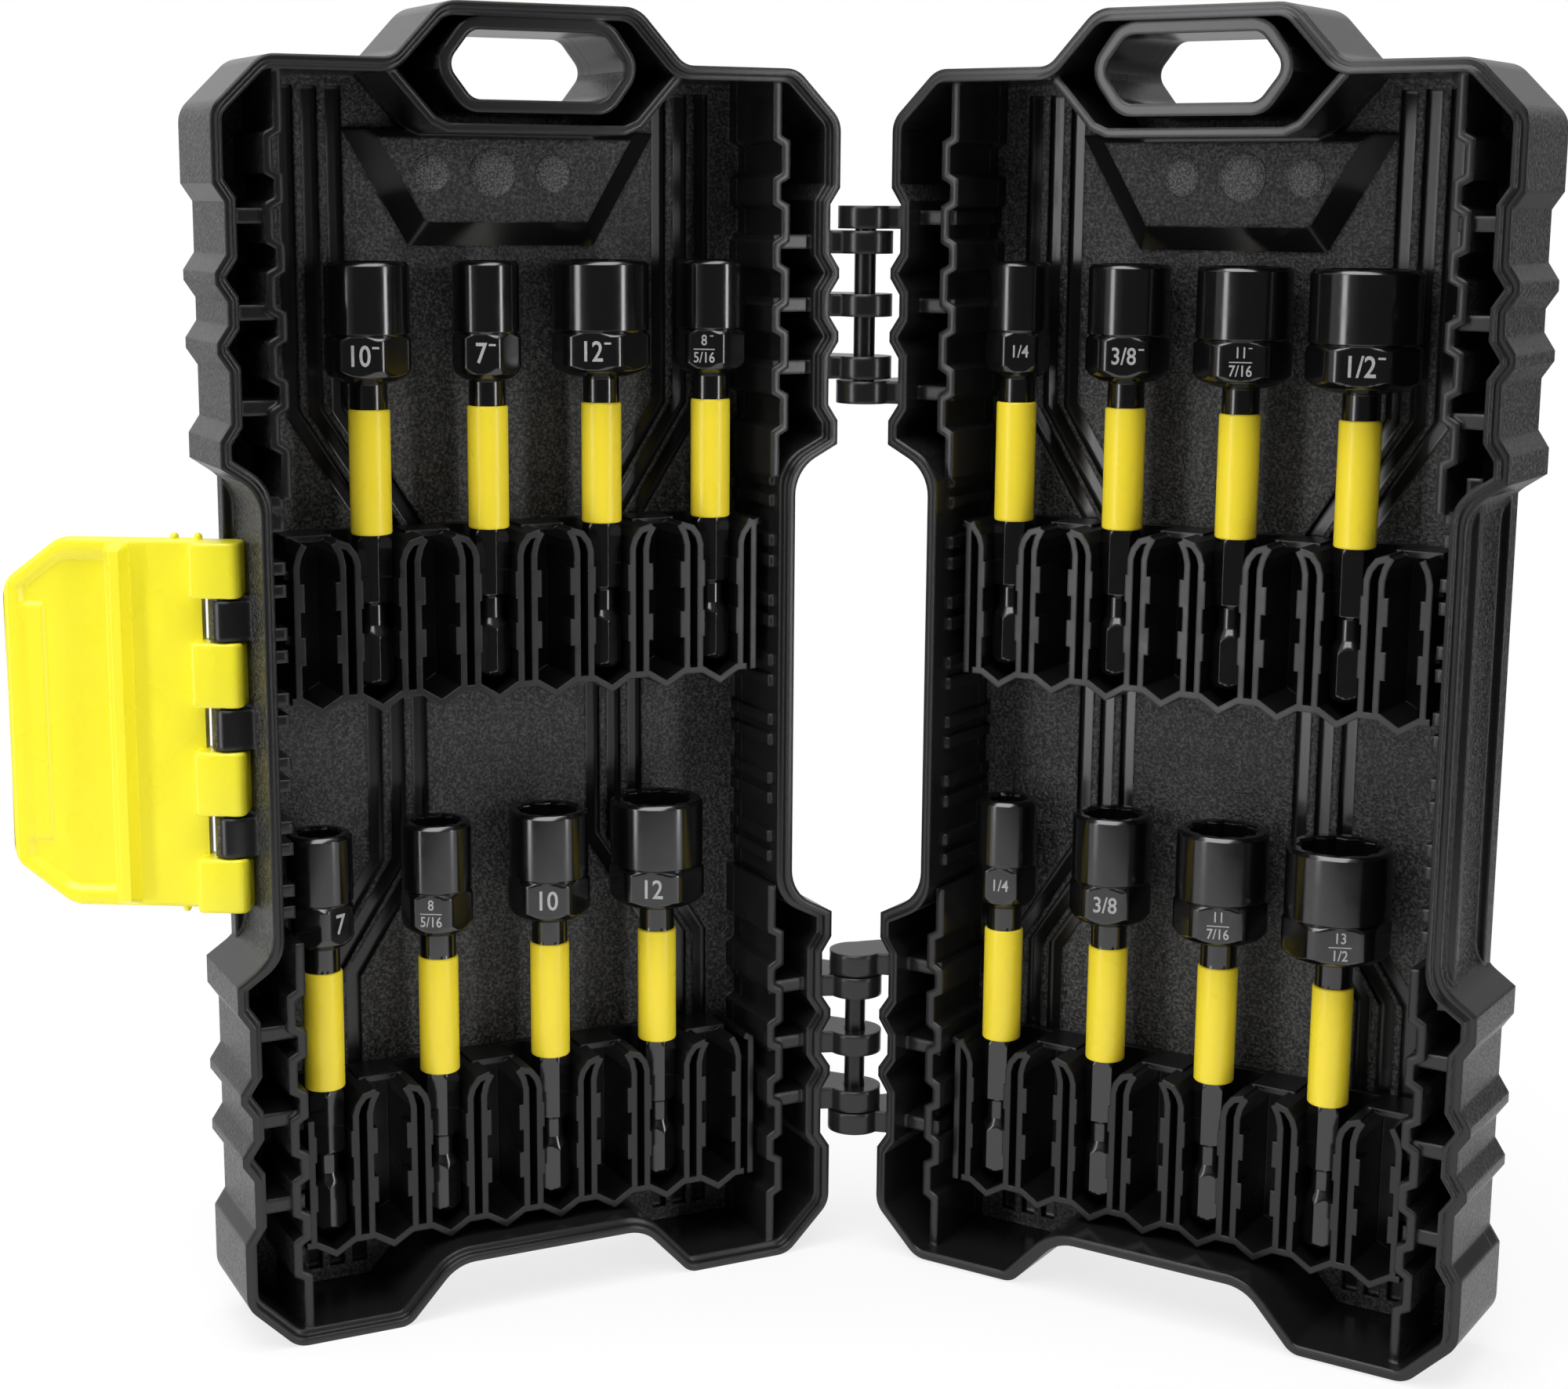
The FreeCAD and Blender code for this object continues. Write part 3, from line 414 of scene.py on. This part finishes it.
def pale_floor(setup):
    """Seamless paper: matt near white that keeps a soft shadow and meets a white backdrop."""
    material, tree, coords = start_material("matt_paper_floor")
    place = coords["Object"]
    paper = add_node(
        tree, "ShaderNodeBsdfPrincipled", {"Base Color": rgba(setup.floor), "Specular IOR Level": 0.1},
        Roughness=remap(tree, noise(tree, place, 4 * MM), 0.75, 0.85))
    white = add_node(tree, "ShaderNodeEmission", {"Color": (1, 1, 1, 1), "Strength": 1.0})
    spread = add_node(tree, "ShaderNodeVectorMath", {"operation": "LENGTH"}, i0=place)
    fade = remap(tree, spread.outputs["Value"], 0.78, 1.0, FLOOR_SHADOW, 0.9 * FLOOR_REACH)
    blend = add_node(
        tree, "ShaderNodeMixShader", i0=maths(tree, "MULTIPLY", shown_rays(tree), fade),
        i1=paper.outputs["BSDF"], i2=white.outputs["Emission"])
    add_node(tree, "ShaderNodeOutputMaterial", Surface=blend.outputs["Shader"])
    return material


def grid_faces(rings, start_pole=None, end_pole=None):
    """Points and faces of rings of points: neighbours share four-sided faces, and a pole closes an end."""
    count, around = rings.shape[:2]
    points = rings.reshape(-1, 3)
    below = np.arange((count - 1) * around).reshape(count - 1, around)
    side = np.roll(below, -1, axis=1)
    faces = [np.stack([below, side, side + around, below + around], axis=-1).reshape(-1, 4)]
    for pole, first, flip in ((start_pole, 0, True), (end_pole, (count - 1) * around, False)):
        if pole is None:
            continue
        ring = first + np.arange(around)
        after = np.roll(ring, -1)
        centre = np.full(around, len(points))
        fan = [after, ring, centre] if flip else [ring, after, centre]
        faces.append(np.stack(fan, axis=-1))
        points = np.vstack([points, pole])
    return points, faces


def surface_mesh(name, *surfaces):
    """One smooth mesh from the points and faces of several closed surfaces."""
    points = np.vstack([part[0] for part in surfaces])
    first = np.cumsum([0] + [len(part[0]) for part in surfaces])
    faces = sum(((group + start).tolist() for part, start in zip(surfaces, first) for group in part[1]), [])
    mesh = bpy.data.meshes.new(name)
    mesh.from_pydata(points.tolist(), [], faces)
    builder = bmesh.new()
    builder.from_mesh(mesh)
    bmesh.ops.recalc_face_normals(builder, faces=builder.faces)
    builder.to_mesh(mesh)
    builder.free()
    mesh.polygons.foreach_set("use_smooth", np.ones(len(mesh.polygons), dtype=bool))
    mesh.set_sharp_from_angle(angle=CREASE)
    return mesh


def place_piece(name, mesh, material, body, slot, *nodes):
    """Object at the origin with its material, riding on a body in place of the nodes it stands for."""
    mesh.materials.append(material)
    piece = bpy.data.objects.new(name, mesh)
    bpy.context.scene.collection.objects.link(piece)
    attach(piece, body)
    if nodes:
        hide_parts(*nodes)
    return piece


def dress_node(node, material):
    """Puts one material on a CAD node in place of its own."""
    mesh = frame["nodes"][node].data
    mesh.materials.clear()
    mesh.materials.append(material)


def hexagon_reach(turn, across):
    """Distance from the axis to a hexagon's side: half the flats over the cosine from the nearest flat."""
    sixth = math.pi / 3
    return across / 2 / np.cos((turn + sixth / 2) % sixth - sixth / 2)


def twelve_point_reach(turn, across):
    """Distance to a twelve point bore: the larger of two hexagons half a flat apart."""
    return np.maximum(hexagon_reach(turn, across), hexagon_reach(turn + math.pi / 6, across))


def turned_rings(reach, level, angles):
    """Rings about the vertical axis, from the reach and the level of each point."""
    level = np.broadcast_to(level, (len(level), len(angles)))
    return np.stack([reach * np.cos(angles), reach * np.sin(angles), level], axis=-1)


def driver_rings(shape, across, diameter, tip, flat_turn):
    """Rings of a nut driver from shank tip to bore floor.

    At each height the reach is the smaller of a hexagon and a circle, so every cone that trims the
    hexagon leaves the curved edges of a turned bar. At the mouth the rings turn in and go down the
    twelve point bore.
    """
    angles = np.linspace(0, 2 * math.pi, AROUND, endpoint=False) + flat_turn
    local = angles - flat_turn
    full = shape.shank_across
    clear, covered = 0.59 * full, 0.53 * full    # past the shank's corners, and under the sleeve
    wide = 4 * diameter                          # a hexagon that trims nothing
    radius = diameter / 2
    collar = COLLAR_SHARE * diameter
    proud = radius + shape.collar_proud
    tiny = 0.02 * MM
    # height, hexagon across flats and circle radius down the outside
    steps = np.array([
        (0.0, full, shape.tip_radius), (shape.tip_chamfer, full, clear),
        (shape.taper_start, full, clear), (shape.notch_start, full, shape.notch_radius),
        (shape.notch_end, full, shape.notch_radius), (shape.taper_end, full, clear),
        (shape.sleeve_start - 1.2 * MM, full, clear), (shape.sleeve_start, full, covered),
        (shape.sleeve_end - tiny, full, covered), (shape.sleeve_end, wide, shape.neck_radius),
        (shape.neck_end, wide, shape.neck_radius), (shape.neck_end + tiny, collar, shape.neck_radius),
        (shape.neck_end + 0.6 * MM, collar, shape.neck_radius + 0.45 * (proud - shape.neck_radius)),
        (shape.neck_end + 1.5 * MM, collar, shape.neck_radius + 0.8 * (proud - shape.neck_radius)),
        (shape.collar_start, collar, proud), (shape.collar_end - shape.chamfer, collar, proud),
        (shape.collar_end, collar, radius * 0.95), (shape.collar_end + tiny, wide, radius * 0.95),
        (shape.collar_end + 0.4 * MM, wide, radius), (shape.total - shape.chamfer, wide, radius),
        (shape.total - 0.2 * MM, wide, radius - 0.35 * MM), (shape.total, wide, radius - 0.6 * MM),
    ])
    heights = np.unique(np.concatenate(
        [steps[:, 0], np.arange(0, shape.total, 0.9 * MM),
         np.arange(shape.neck_end, shape.collar_end + MM, 0.22 * MM),
         np.arange(0, shape.taper_end + MM, 0.3 * MM)]))
    hexes = np.interp(heights, steps[:, 0], steps[:, 1])
    circles = np.interp(heights, steps[:, 0], steps[:, 2])
    outside = np.minimum(hexagon_reach(local[None, :], hexes[:, None]), circles[:, None])
    star = twelve_point_reach(local, across)
    limit = radius - 0.75 * MM
    bore = shape.bore_depth
    # depth in the bore and widening there
    mouth = np.array([(0.0, 0.5 * MM), (0.45 * MM, 0.0), (0.5 * bore, 0.0), (bore, 0.0)])
    inside = np.minimum(star[None, :] + mouth[:, 1:], limit)
    reach = np.vstack([outside, inside, 0.35 * star[None, :]])
    level = np.concatenate([heights, shape.total - mouth[:, 0], [shape.total - bore - 0.6 * MM]])
    return turned_rings(reach, level[:, None], angles) + tip


def sleeve_rings(shape, tip):
    """Rings of a sleeve: a tube with quarter circles at its ends, turned in and closed inside."""
    angles = np.linspace(0, 2 * math.pi, AROUND, endpoint=False)
    bend = np.linspace(0, math.pi / 2, 7)
    edge = shape.sleeve_round
    inner = shape.shank_across * 0.5
    reach = shape.sleeve_radius - edge + edge * np.sin(bend)
    low = np.stack([reach, shape.sleeve_start + edge - edge * np.cos(bend)], -1)
    high = np.stack([low[::-1, 0], shape.sleeve_start + shape.sleeve_end - low[::-1, 1]], -1)
    foot, head = (inner, shape.sleeve_start), (inner, shape.sleeve_end)
    profile = np.vstack([[foot], low, high, [head], [foot]])
    return turned_rings(profile[:, :1], profile[:, 1:], angles) + tip


def words_mesh(words, size, rise):
    """Flat mesh of narrow, centred words at a height on their plane, and its right hand edge."""
    curve = bpy.data.curves.new("words", "FONT")
    curve.body = words
    curve.size = size
    curve.align_x = "CENTER"
    curve.align_y = "CENTER"
    curve.resolution_u = 3
    curve.offset = 0.012 * size
    source = bpy.data.objects.new("words", curve)
    mesh = bpy.data.meshes.new_from_object(source)
    bpy.data.objects.remove(source)
    bpy.data.curves.remove(curve)
    mesh.transform(Matrix.Translation((0, rise, 0)) @ Matrix.Diagonal((0.84, 1, 1, 1)))
    points = np.empty(3 * len(mesh.vertices), dtype=np.float32)
    mesh.vertices.foreach_get("co", points)
    return mesh, float(points[0::3].max())


def mark_mesh(name, lines, dashed, place):
    """Mesh of a size mark on its plane: one line, or two lines with a bar between, and a short dash."""
    stacked = len(lines) > 1
    size = (MARK_STACKED if stacked else MARK_SIZES.get(lines[0], MARK_SIZE)) * MM
    rises = (1.6 * MM, -1.6 * MM) if stacked else (0.0,)
    builder = bmesh.new()
    edge = 0.0
    for words, rise in zip(lines, rises):
        flat, reach = words_mesh(words, size, rise)
        builder.from_mesh(flat)
        bpy.data.meshes.remove(flat)
        edge = reach if rise == rises[0] else edge
    bars = [(0.0, 0.0, 4.0 * MM, 0.2 * MM)] if stacked else []
    if dashed:
        bars.append((edge + 0.9 * MM, rises[0] + 0.32 * size, 0.24 * size, 0.07 * size))
    for x, y, wide, tall in bars:
        corners = ((-wide, -tall), (wide, -tall), (wide, tall), (-wide, tall))
        builder.faces.new([builder.verts.new((x + dx / 2, y + dy / 2, 0.0)) for dx, dy in corners])
    builder.transform(place)
    mesh = bpy.data.meshes.new(name)
    builder.to_mesh(mesh)
    builder.free()
    return mesh


def disc_rings(centre, right, up, out, radius):
    """Rings of a low round boss: a flat top with a sloping edge, on the plane through its centre."""
    angles = np.linspace(0, 2 * math.pi, 48, endpoint=False)
    profile = np.array([(radius, -0.05), (radius, 0.1), (radius - 0.12 * MM, 0.16), (0.5 * radius, 0.16)])
    reach, level = profile[:, :1, None], profile[:, 1:, None] * MM
    spokes = np.cos(angles)[None, :, None] * right + np.sin(angles)[None, :, None] * up
    return centre + reach * spokes + level * out


def step_up(value, start, end):
    """Smooth step from nought to one between two values."""
    share = np.clip((value - start) / (end - start), 0, 1)
    return share * share * (3 - 2 * share)


def rounded_outline(corners, count):
    """Even points along a closed outline of straight runs, with a tangent parabola at each corner."""
    here = np.array([corner[:2] for corner in corners])
    radius = np.array([corner[2] for corner in corners])
    into = here - np.roll(here, 1, axis=0)
    into /= np.linalg.norm(into, axis=1, keepdims=True)
    out = np.roll(into, -1, axis=0)
    turn = np.arccos(np.clip((into * out).sum(axis=1), -1, 1))
    reach = radius * np.tan(turn / 2)
    share = np.linspace(0, 1, 12)[None, :, None]
    first = (here - into * reach[:, None])[:, None, :]
    last = (here + out * reach[:, None])[:, None, :]
    bend = (1 - share) ** 2 * first + 2 * share * (1 - share) * here[:, None, :] + share ** 2 * last
    path = bend.reshape(-1, 2)
    path = np.vstack([path, path[:1]])
    travel = np.concatenate([[0], np.cumsum(np.linalg.norm(np.diff(path, axis=0), axis=1) + 1e-9)])
    places = np.linspace(0, travel[-1], count, endpoint=False)
    return np.stack([np.interp(places, travel, path[:, 0]), np.interp(places, travel, path[:, 1])], -1)


def latch_space(shape, along, height, through):
    """Places in the frame of points given along the plate, up it and through it."""
    outward, back, _ = half_axes("base")
    plate = outward * math.sin(shape.turn) - back * math.cos(shape.turn)
    depth = outward * math.cos(shape.turn) + back * math.sin(shape.turn)
    low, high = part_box("latch")
    pivot = np.array(JOINTS["latch_hinge"]["pos_m"])
    pivot[2] = (low.z + high.z) / 2
    up = np.array([0.0, 0.0, 1.0])
    return pivot + along[..., None] * plate + height[..., None] * up + through[..., None] * depth


def latch_plate(shape):
    """Plate of the latch: a closed section across the plate, carried from the knuckles to the free end.

    The half height follows the rounded outline. The front is a height over the plate: a smooth step
    down into the pocket inside the border, a low pad near the free end, and the hook ridge between
    two smooth steps. Quarter circles join the front to the back and round off the free end.
    """
    corners = [
        (shape.start, -shape.half, 0.5 * MM), (shape.shoulder, -shape.half, 6 * MM),
        (shape.end, -shape.end_half, 5 * MM), (shape.end, shape.end_half, 5 * MM),
        (shape.shoulder, shape.half, 6 * MM), (shape.start, shape.half, 0.5 * MM),
    ]
    outline = rounded_outline(corners, 2000)
    upper = outline[outline[:, 1] > shape.end_half - 3 * MM]
    upper = upper[np.argsort(upper[:, 0])]
    soft = 1.1 * MM
    turn = np.linspace(0, math.pi / 2, 9)
    near, far = shape.ridge - 1.8 * shape.ridge_half, shape.ridge + 2.6 * shape.ridge_half
    along = np.concatenate([
        np.linspace(shape.start, near, 24)[:-1], np.linspace(near, far, 70)[:-1],
        np.linspace(far, shape.end - soft, 90)[:-1], shape.end - soft + soft * np.sin(turn)])[:, None]
    closing = np.concatenate([np.zeros(len(along) - len(turn)), soft * (1 - np.cos(turn))])[:, None]
    half = np.interp(along, upper[:, 0], upper[:, 1])
    # share of the flat half height, rise past it, and drop below the front or rise above the back
    front, back = np.linspace(-1, 1, 150), np.linspace(1, -1, 30)
    bend = np.linspace(0, math.pi / 2, 8)[1:-1]
    ends = np.ones(len(bend))
    share = np.concatenate([front, ends, ends, back, -ends, -ends])
    out, up = np.sin(bend), np.cos(bend)
    past = soft * np.concatenate([0 * front, out, up, 0 * back, -out, -up])
    drop = soft * np.concatenate([0 * front, 1 - up, 1 - out, 0 * back, 1 - up, 1 - out])
    behind = np.concatenate([0 * front, 0 * ends, ends, 1 + 0 * back, ends, 0 * ends])
    height = (half - soft) * share + past
    border = np.minimum(half - np.abs(height), shape.end - along)
    hollow = step_up(border, 2.2 * MM, 4.2 * MM)
    hollow = hollow * step_up(along, shape.ridge + 1.8 * MM, shape.ridge + 3.4 * MM)
    pad = step_up(along, shape.pad - 0.4 * MM, shape.pad + 0.6 * MM) * (
        1 - step_up(np.abs(height), shape.pad_half - 0.5 * MM, shape.pad_half + 0.5 * MM))
    rise = step_up(along, shape.ridge - shape.ridge_half, shape.ridge - 0.35 * shape.ridge_half)
    fall = step_up(along, shape.ridge + 0.5 * shape.ridge_half, shape.ridge + 1.6 * shape.ridge_half)
    ridge = rise * (1 - fall) * step_up(shape.half - np.abs(height), 0.4 * MM, 2.0 * MM)
    face = shape.inner + hollow * shape.pocket * (1 - 0.5 * pad) - shape.ridge_rise * ridge
    through = np.where(behind > 0, shape.outer - drop - closing, face + drop + closing)
    rings = latch_space(shape, np.broadcast_to(along, height.shape), height, through)
    return grid_faces(rings, rings[0].mean(axis=0), rings[-1].mean(axis=0))


def latch_knuckle(shape, low, high):
    """Knuckle of the latch: a rounded box section along the pivot, with rounded ends."""
    size = shape.knuckle
    corners = [
        (-size, -size, 2.0 * MM), (shape.start + 1.4 * MM, -size, 1.0 * MM),
        (shape.start + 1.4 * MM, shape.outer, 0.5 * MM), (-size, shape.outer, 2.0 * MM),
    ]
    section = rounded_outline(corners, 96)
    centre = section.mean(axis=0)
    soft = 0.7 * MM
    bend = np.linspace(0, math.pi / 2, 6)
    inset = np.concatenate([soft * (1 - np.sin(bend)), soft * (1 - np.sin(bend[::-1]))])
    level = np.concatenate([low + soft * (1 - np.cos(bend)), high - soft * (1 - np.cos(bend[::-1]))])
    rays = section - centre
    unit = rays / np.linalg.norm(rays, axis=1, keepdims=True)
    ring = section[None] - unit[None] * inset[:, None, None]
    height = np.broadcast_to(level[:, None], ring.shape[:2])
    rings = latch_space(shape, ring[..., 0], height, ring[..., 1])
    return grid_faces(rings[:, ::-1], rings[0].mean(axis=0), rings[-1].mean(axis=0))


def latch_pip(shape, along, side):
    """Small pip on the end of the plate: a round post with a domed top."""
    angles = np.linspace(0, 2 * math.pi, 24, endpoint=False)
    bend = np.linspace(0, 0.95 * math.pi / 2, 6)
    radius = 0.75 * MM
    reach = np.concatenate([[radius], radius * np.cos(bend)])[:, None]
    rise = np.concatenate([[-0.8 * MM], 0.2 * MM + radius * np.sin(bend)])[:, None]
    middle = 0.5 * (shape.inner + shape.outer)
    height = side * (shape.half + rise) + 0 * angles
    rings = latch_space(shape, along + reach * np.cos(angles), height, middle + reach * np.sin(angles))
    rings = rings if side < 0 else rings[:, ::-1]
    return grid_faces(rings, rings[0].mean(axis=0), rings[-1].mean(axis=0))


class DRIVERSET_OT_shells(bpy.types.Operator):
    """Gives both shells their grained finish"""
    bl_idname = "driverset.shells"
    bl_label = "Finish shells"

    def execute(self, context):
        look = context.scene.case_finish
        for half in HALVES:
            dress_node(f"{half}_shell", moulded_shell(look, half))
        return {"FINISHED"}


class DRIVERSET_OT_racks(bpy.types.Operator):
    """Gives the four spring racks their satin finish"""
    bl_idname = "driverset.racks"
    bl_label = "Finish racks"

    def execute(self, context):
        material = satin_rack(context.scene.case_finish)
        for half in HALVES:
            for row in ROWS:
                dress_node(f"{half}_rack_{row}", material)
        return {"FINISHED"}


class DRIVERSET_OT_latch(bpy.types.Operator):
    """Makes the latch as a moulded plate with knuckles and pips, and finishes the pins"""
    bl_idname = "driverset.latch"
    bl_label = "Make latch and finish pins"

    def execute(self, context):
        look = context.scene.case_finish
        shape = context.scene.latch_shape
        parts = [latch_plate(shape)]
        parts += [latch_knuckle(shape, low * MM, high * MM) for low, high in KNUCKLES]
        parts += [latch_pip(shape, along * MM, side) for along in PIPS for side in (-1, 1)]
        mesh = surface_mesh("moulded_latch", *parts)
        place_piece("moulded_latch", mesh, gloss_latch(look), "latch", "latch_plastic", "latch")
        plastic = satin_rack(look)
        for node in ("latch_pin", "hinge_pin_lower", "hinge_pin_upper"):
            dress_node(node, plastic)
        return {"FINISHED"}


class DRIVERSET_OT_drivers(bpy.types.Operator):
    """Makes the nut drivers as turned bars"""
    bl_idname = "driverset.drivers"
    bl_label = "Make drivers"

    def execute(self, context):
        shape = context.scene.driver_shape
        steel = black_oxide(context.scene.case_finish)
        for half, row, size, tip, body in driver_places():
            across, diameter = (value * MM for value in SOCKETS[size][:2])
            flat = mark_direction(half, body)
            rings = driver_rings(shape, across, diameter, tip, math.atan2(flat[1], flat[0]))
            floor = rings[-1].mean(axis=0)
            name = f"turned_{half}_{row}_{size}"
            mesh = surface_mesh(name, grid_faces(rings, tip, floor))
            place_piece(name, mesh, steel, body, "tool_steel", f"{half}_{row}_driver_{size}")
        return {"FINISHED"}


class DRIVERSET_OT_sleeves(bpy.types.Operator):
    """Makes the yellow sleeves with rounded ends"""
    bl_idname = "driverset.sleeves"
    bl_label = "Make sleeves"

    def execute(self, context):
        shape = context.scene.driver_shape
        vinyl = dipped_sleeve(context.scene.case_finish)
        for half, row, size, tip, body in driver_places():
            name = f"dipped_{half}_{row}_{size}"
            mesh = surface_mesh(name, grid_faces(sleeve_rings(shape, tip)))
            place_piece(name, mesh, vinyl, body, "sleeve_plastic", f"{half}_{row}_sleeve_{size}")
        return {"FINISHED"}


class DRIVERSET_OT_marks(bpy.types.Operator):
    """Sets the size mark on the collar flat that faces the opening"""
    bl_idname = "driverset.marks"
    bl_label = "Make size marks"

    def execute(self, context):
        shape = context.scene.driver_shape
        ink = mark_paint(context.scene.case_finish)
        up = np.array([0.0, 0.0, 1.0])
        for half, row, size, tip, body in driver_places():
            out = mark_direction(half, body)
            _, width, lines = SOCKETS[size]
            middle = (shape.collar_start + shape.collar_end) / 2 - MARK_DROP * MM
            centre = tip + middle * up + out * (COLLAR_SHARE / 2 * width + MARK_RISE) * MM
            turn = Matrix((np.cross(up, out), up, out)).transposed().to_4x4()
            name = f"mark_{half}_{row}_{size}"
            dashed = row == "upper" and size != "1_4"
            mesh = mark_mesh(name, lines, dashed, Matrix.Translation(centre) @ turn)
            place_piece(name, mesh, ink, body, "tool_steel")
        return {"FINISHED"}


class DRIVERSET_OT_bosses(bpy.types.Operator):
    """Sets the round sanded marks on the raised panels"""
    bl_idname = "driverset.bosses"
    bl_label = "Make round marks"

    def execute(self, context):
        sanded = sanded_mark(context.scene.case_finish)
        up = np.array([0.0, 0.0, 1.0])
        for half in HALVES:
            outward, back, forward = half_axes(half)
            for index, (across, height, radius) in enumerate(PANEL_MARKS):
                centre = HINGE + outward * (HALF_MIDDLE + across * MM) + back * PANEL_DEPTH
                centre[2] = height * MM
                rings = disc_rings(centre, np.cross(up, forward), up, forward, radius * MM)
                name = f"round_mark_{half}_{index}"
                mesh = surface_mesh(name, grid_faces(rings, None, rings[-1].mean(axis=0)))
                place_piece(name, mesh, sanded, half, "case_plastic")
        return {"FINISHED"}


class DRIVERSET_OT_stage(bpy.types.Operator):
    """Makes the floor, the backdrop, the lights and the camera"""
    bl_idname = "driverset.stage"
    bl_label = "Make stage"

    def execute(self, context):
        setup = context.scene.stage_setup
        make_floor(setup)
        make_sky()
        make_lamps()
        make_camera(setup)
        context.scene.view_settings.view_transform = "Standard"
        return {"FINISHED"}


def make_floor(setup):
    """Round sheet of paper under the case: rings of growing radius, level all over."""
    angles = np.linspace(0, 2 * math.pi, 96, endpoint=False)
    reach = np.linspace(0.05, FLOOR_REACH, 12)[:, None]
    rings = turned_rings(reach, 0 * reach, angles)
    mesh = surface_mesh("paper_floor", grid_faces(rings, rings[0].mean(axis=0)))
    mesh.materials.append(pale_floor(setup))
    floor = bpy.data.objects.new("paper_floor", mesh)
    bpy.context.scene.collection.objects.link(floor)


def make_sky():
    """White studio: full white for the camera, a pale wall behind on the left and a dim room in front."""
    world = bpy.data.worlds.new("studio")
    bpy.context.scene.world = world
    world.use_nodes = True
    tree = world.node_tree
    tree.nodes.clear()
    view = add_node(tree, "ShaderNodeTexCoord").outputs["Generated"]
    room = remap(tree, dot(tree, view, PALE_WALL), 0.08, 0.8, -0.3, 0.9)
    camera = add_node(tree, "ShaderNodeLightPath").outputs["Is Camera Ray"]
    lit = maths(tree, "MAXIMUM", room, camera)
    strength = maths(tree, "MULTIPLY", lit, remap(tree, shown_rays(tree), 0.6, 1.0))
    sky = add_node(tree, "ShaderNodeBackground", {"Color": (1, 1, 1, 1)}, Strength=strength)
    add_node(tree, "ShaderNodeOutputWorld", Surface=sky.outputs["Background"])


def make_lamps():
    """Two strip lamps in front for the long highlights and one soft lamp above."""
    target = Vector((0, 0, 0.12))
    for name, place, size, power in LAMPS:
        lamp = bpy.data.lights.new(name, "AREA")
        lamp.shape = "RECTANGLE"
        lamp.size, lamp.size_y = size
        lamp.energy = power
        holder = bpy.data.objects.new(name, lamp)
        holder.location = place
        holder.rotation_euler = (target - Vector(place)).to_track_quat("-Z", "Y").to_euler()
        bpy.context.scene.collection.objects.link(holder)


def make_camera(setup):
    """Camera turned by yaw, pitch and roll, with its shift taken from the frame of the product view."""
    yaw, pitch, roll = setup.yaw, setup.pitch, setup.roll
    forward = Vector((math.sin(yaw) * math.cos(pitch), math.cos(yaw) * math.cos(pitch), -math.sin(pitch)))
    level = Vector((math.cos(yaw), -math.sin(yaw), 0))
    above = level.cross(forward)
    right = level * math.cos(roll) + above * math.sin(roll)
    up = right.cross(forward)
    camera = bpy.data.cameras.new("product_view")
    camera.sensor_fit = "HORIZONTAL"
    camera.sensor_width = 36.0
    camera.lens = setup.lens
    camera.shift_x, camera.shift_y = setup.shift
    camera.clip_start = 0.01
    holder = bpy.data.objects.new("product_view", camera)
    turn = Matrix((right, up, -forward)).transposed().to_4x4()
    holder.matrix_world = Matrix.Translation(Vector(setup.eye)) @ turn
    bpy.context.scene.collection.objects.link(holder)
    bpy.context.scene.camera = holder


GROUPS = (CaseFinish, DriverShape, LatchShape, StageSetup)
OPERATORS = (
    DRIVERSET_OT_shells, DRIVERSET_OT_racks, DRIVERSET_OT_latch, DRIVERSET_OT_drivers,
    DRIVERSET_OT_sleeves, DRIVERSET_OT_marks, DRIVERSET_OT_bosses, DRIVERSET_OT_stage,
)


class DRIVERSET_PT_panel(bpy.types.Panel):
    """Lists the steps that dress the driver set"""
    bl_idname = "DRIVERSET_PT_panel"
    bl_label = "Driver Set"
    bl_space_type = "VIEW_3D"
    bl_region_type = "UI"
    bl_category = "Driver Set"

    def draw(self, context):
        for operator in OPERATORS:
            self.layout.operator(operator.bl_idname)


def register():
    """Registers the classes and the settings that they read."""
    for cls in GROUPS + OPERATORS + (DRIVERSET_PT_panel,):
        bpy.utils.register_class(cls)
    bpy.types.Scene.case_finish = PointerProperty(type=CaseFinish)
    bpy.types.Scene.driver_shape = PointerProperty(type=DriverShape)
    bpy.types.Scene.latch_shape = PointerProperty(type=LatchShape)
    bpy.types.Scene.stage_setup = PointerProperty(type=StageSetup)


def unregister():
    """Takes the settings and the classes away again."""
    del bpy.types.Scene.stage_setup
    del bpy.types.Scene.latch_shape
    del bpy.types.Scene.driver_shape
    del bpy.types.Scene.case_finish
    for cls in reversed(GROUPS + OPERATORS + (DRIVERSET_PT_panel,)):
        bpy.utils.unregister_class(cls)


def main():
    """Runs every step in order."""
    register()
    for operator in OPERATORS:
        group, step = operator.bl_idname.split(".")
        getattr(getattr(bpy.ops, group), step)()


if __name__ == "__main__":
    main()
